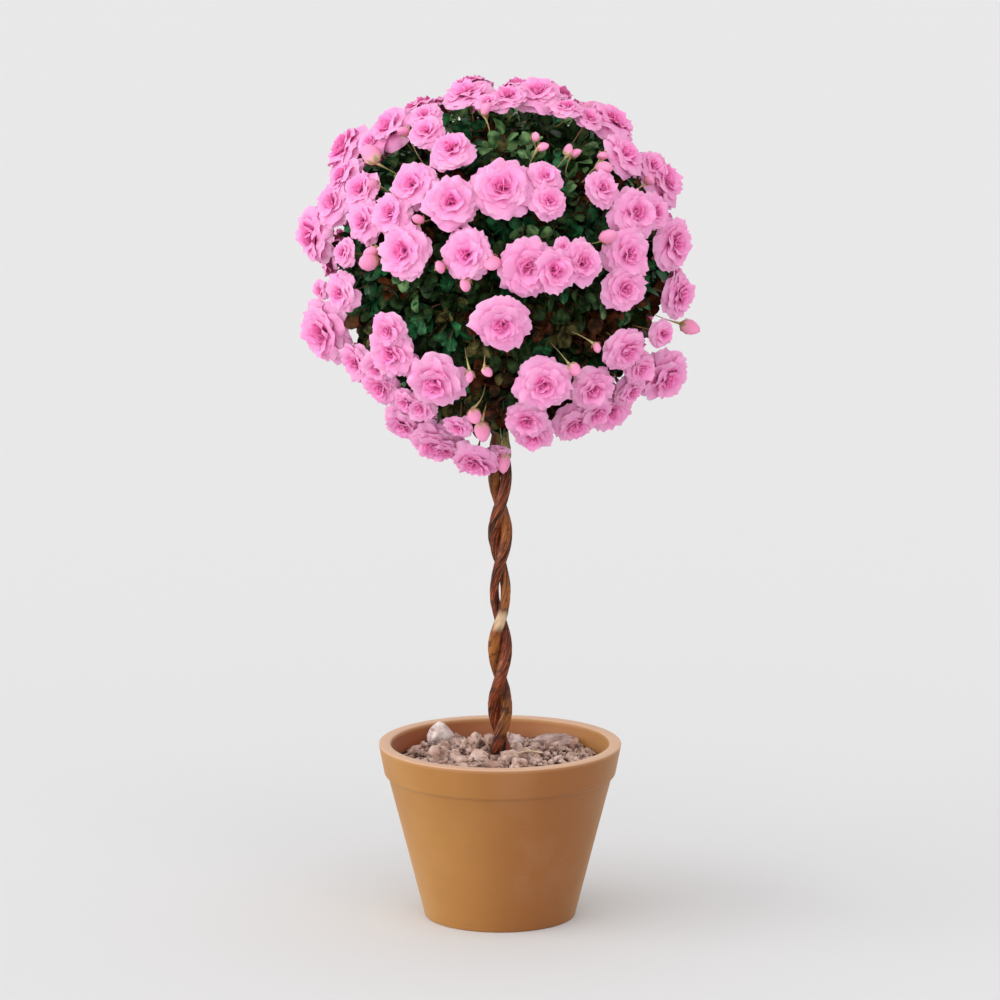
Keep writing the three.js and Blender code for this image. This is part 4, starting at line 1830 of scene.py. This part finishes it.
    def _flower_stalks(self, flowers: list[Flower]) -> None:
        """Makes the thin stalk that carries each flower and the star of sepals behind it."""
        feet = np.array([flower.foot for flower in flowers])
        facing = np.array([flower.facing for flower in flowers])
        radii = np.array([flower.radius for flower in flowers])
        inward = unit(feet - self.crown.middle)
        ends = feet + facing * (radii * 0.1)[:, None]
        starts = self.crown.middle + inward * (self.crown.radius(inward) * 0.93)[:, None]
        starts = starts + self.rng.normal(0, 4 * MM, feet.shape)
        bends = feet - facing * (0.4 * np.linalg.norm(ends - starts, axis=1))[:, None]
        paths = bent_paths(starts, ends, bends, len(self.flower_stalk.swell))
        green = self.flower_stalk.finish.build("stalk_green")
        self._stalks("flower_stalks", self.flower_stalk, green, paths, feet, facing, radii)

    def _stalks(
        self, name: str, style: StalkStyle, green: Material, paths: Array,
        feet: Array, facing: Array, sizes: Array,
    ) -> None:
        """Makes thin stalks, each with a star of sepals at its end.

        Args:
            name: The piece's name.
            style: How they look.
            green: Their material.
            paths: The stalks' paths.
            feet: Where the stars stand.
            facing: The way that each star looks.
            sizes: How large each star is.
        """
        star, faces = self._star(style.sepal)
        frames = chance_frames(facing, self.rng)
        stars = copies(star[None] * sizes[:, None, None], faces, frames, feet)
        radii = np.tile(np.array(style.swell) * MM, (len(paths), 1))
        piece = mesh_piece(name, *joined([tubes(paths, radii, style.sides), stars]))
        hand_over(piece, green, "leaves")

    def _star(self, outline: Sequence[Triple]) -> Shape:
        """Draws the narrow sepals round a foot.

        Args:
            outline: Foot, middle and tip of a sepal: how far out, half how wide, how high.

        Returns:
            The points and triangles.
        """
        points, faces = [], []
        for number in range(self.sepals):
            turn = number * TURN / self.sepals
            along = np.array([math.cos(turn), math.sin(turn)])
            aside = np.array([-math.sin(turn), math.cos(turn)])
            base = len(points)
            for out, half, up in outline:
                points += [(*(along * out + side * aside * half), up) for side in (1, -1)]
            for row in (base, base + 2):
                faces += [(row, row + 2, row + 1), (row + 1, row + 2, row + 3)]
        return np.array(points), np.array(faces)

    @staticmethod
    def _bud_shape() -> Shape:
        """Models the bud that is copied: two rounded petals closed on each other.

        Returns:
            Its points and triangles, with its foot at the origin, its tip at +Y and a radius of 1.
        """
        points, triangles = ball(2)
        seam = np.exp(-((points[:, 2] / 0.14) ** 2))
        points *= (1 + 0.1 * seam)[:, None]
        points[:, 2] *= 0.72
        points[:, 1] = points[:, 1] * (1.08 + 0.1 * points[:, 1]) + 1.0
        points[:, 0] *= 1.02 - 0.14 * np.abs(points[:, 1] - 1)
        return points, triangles

    def _buds(self, hidden: list[Flower]) -> None:
        """Makes the buds on their thin stalks: those of the front, and some near hidden flowers.

        Args:
            hidden: The flowers of the hidden side.
        """
        rng = self.rng
        placed = np.array(FRONT_BUDS)
        near = [hidden[number] for number in rng.choice(len(hidden), self.back_buds, replace=False)]
        out = np.array([flower.foot for flower in near]) - self.crown.middle
        gap = np.array([flower.radius for flower in near]) + 5 * MM
        aside = unit(np.cross(out, rng.normal(size=out.shape)))
        ways = np.concatenate([aim(placed[:, 0], placed[:, 1]), unit(out + aside * gap[:, None])])
        reach = np.concatenate([placed[:, 2], rng.uniform(180, 190, self.back_buds)]) * MM
        size = np.concatenate([placed[:, 3], rng.uniform(12, 19, self.back_buds)]) * MM / 2 * 0.92
        shape, triangles = self._bud_shape()
        along = unit(ways + rng.normal(0, 0.3, ways.shape) - 0.2 * UP)
        feet = self.crown.middle + ways * reach[:, None] - along * size[:, None]
        fuller = np.where(size > 8 * MM, 1.2, 1.0)
        shapes = shape[None] * (size * fuller)[:, None, None] * np.array([0.92, 1, 0.92])
        frames = side_frames(along, rng.normal(size=ways.shape))
        piece = mesh_piece("buds", *copies(shapes, triangles, frames, feet))
        store(piece, "along", np.tile((shape[:, 1] / 2.2).clip(0, 1), len(ways)))
        hand_over(piece, self.bud_finish.build("bud_petal"), "blossom")
        starts = self.crown.middle + ways * (self.crown.radius(ways) * 0.9)[:, None]
        starts = starts + rng.normal(0, 5 * MM, ways.shape)
        bends = (starts + feet) / 2 + rng.normal(0, 4 * MM, feet.shape)
        paths = bent_paths(starts, feet + along * 0.8 * MM, bends, len(self.bud_stalk.swell))
        green = self.bud_stalk.finish.build("bud_green")
        self._stalks("bud_stalks", self.bud_stalk, green, paths, feet, along, size)


# ---------------------------------------------------------------- studio


@dataclass
class Studio:
    """The floor, the light and the camera.

    Attributes:
        lamps: Each lamp's name, the way it comes from, how wide it looks in degrees, its strength.
    """

    distance: float = 6.0
    elevation: float = 10.8
    lens: float = 202.7
    look_at: float = 0.4546
    floor_radius: float = 40.0
    glow: float = 0.84
    lamps: tuple[tuple[str, Triple, float, float], ...] = (
        ("key", (-0.9, -0.3, 0.22), 66, 2.1),
        ("fill", (0.05, -0.85, 0.5), 80, 0.95),
    )

    def build(self) -> None:
        """Lays the floor, hangs the lights and sets the camera."""
        floor = primitive(
            bpy.ops.mesh.primitive_circle_add,
            "studio_floor",
            vertices=96,
            radius=self.floor_radius,
            fill_type="NGON",
        )
        floor.data.materials.append(StudioFinish().build("studio_grey"))
        world = bpy.data.worlds.new("studio")
        bpy.context.scene.world = world
        world.use_nodes = True
        background = world.node_tree.nodes["Background"]
        background.inputs["Color"].default_value = (1.0, 1.0, 1.0, 1.0)
        background.inputs["Strength"].default_value = self.glow
        for lamp in self.lamps:
            self._lamp(*lamp)
        bpy.context.scene.view_settings.view_transform = "Standard"
        self._camera()

    @staticmethod
    def _lamp(name: str, way: Triple, spread: float, strength: float) -> None:
        """Hangs one far, soft light.

        Args:
            name: Its name.
            way: The direction that it comes from.
            spread: How wide it looks, in degrees.
            strength: Its strength.
        """
        bpy.ops.object.light_add(type="SUN", location=(0, 0, 3))
        lamp = bpy.context.active_object
        lamp.name = name
        lamp.data.angle = math.radians(spread)
        lamp.data.energy = strength
        lamp.rotation_euler = Vector(way).to_track_quat("Z", "Y").to_euler()

    def _camera(self) -> None:
        """Sets the camera in front, a little above."""
        lift = math.radians(self.elevation)
        back = Vector((0, -math.cos(lift), math.sin(lift))) * self.distance
        place = back + Vector((0, 0, self.look_at))
        bpy.ops.object.camera_add(location=place, rotation=(math.pi / 2 - lift, 0, 0))
        camera = bpy.context.active_object
        camera.data.lens = self.lens
        camera.data.sensor_width = 36
        camera.data.clip_end = 200
        bpy.context.scene.camera = camera


# ---------------------------------------------------------------- assembly


def main() -> None:
    """Builds the studio and the plant from the ground up."""
    logging.basicConfig(level=logging.INFO, format="%(name)s: %(message)s")
    Studio().build()
    Pot().build()
    SoilBed().build()
    Stem().build()
    crown = Crown()
    twigs = Limbs(crown).build()
    Leaves(crown).build(twigs)
    Blossom(crown).build()


if __name__ == "__main__":
    main()
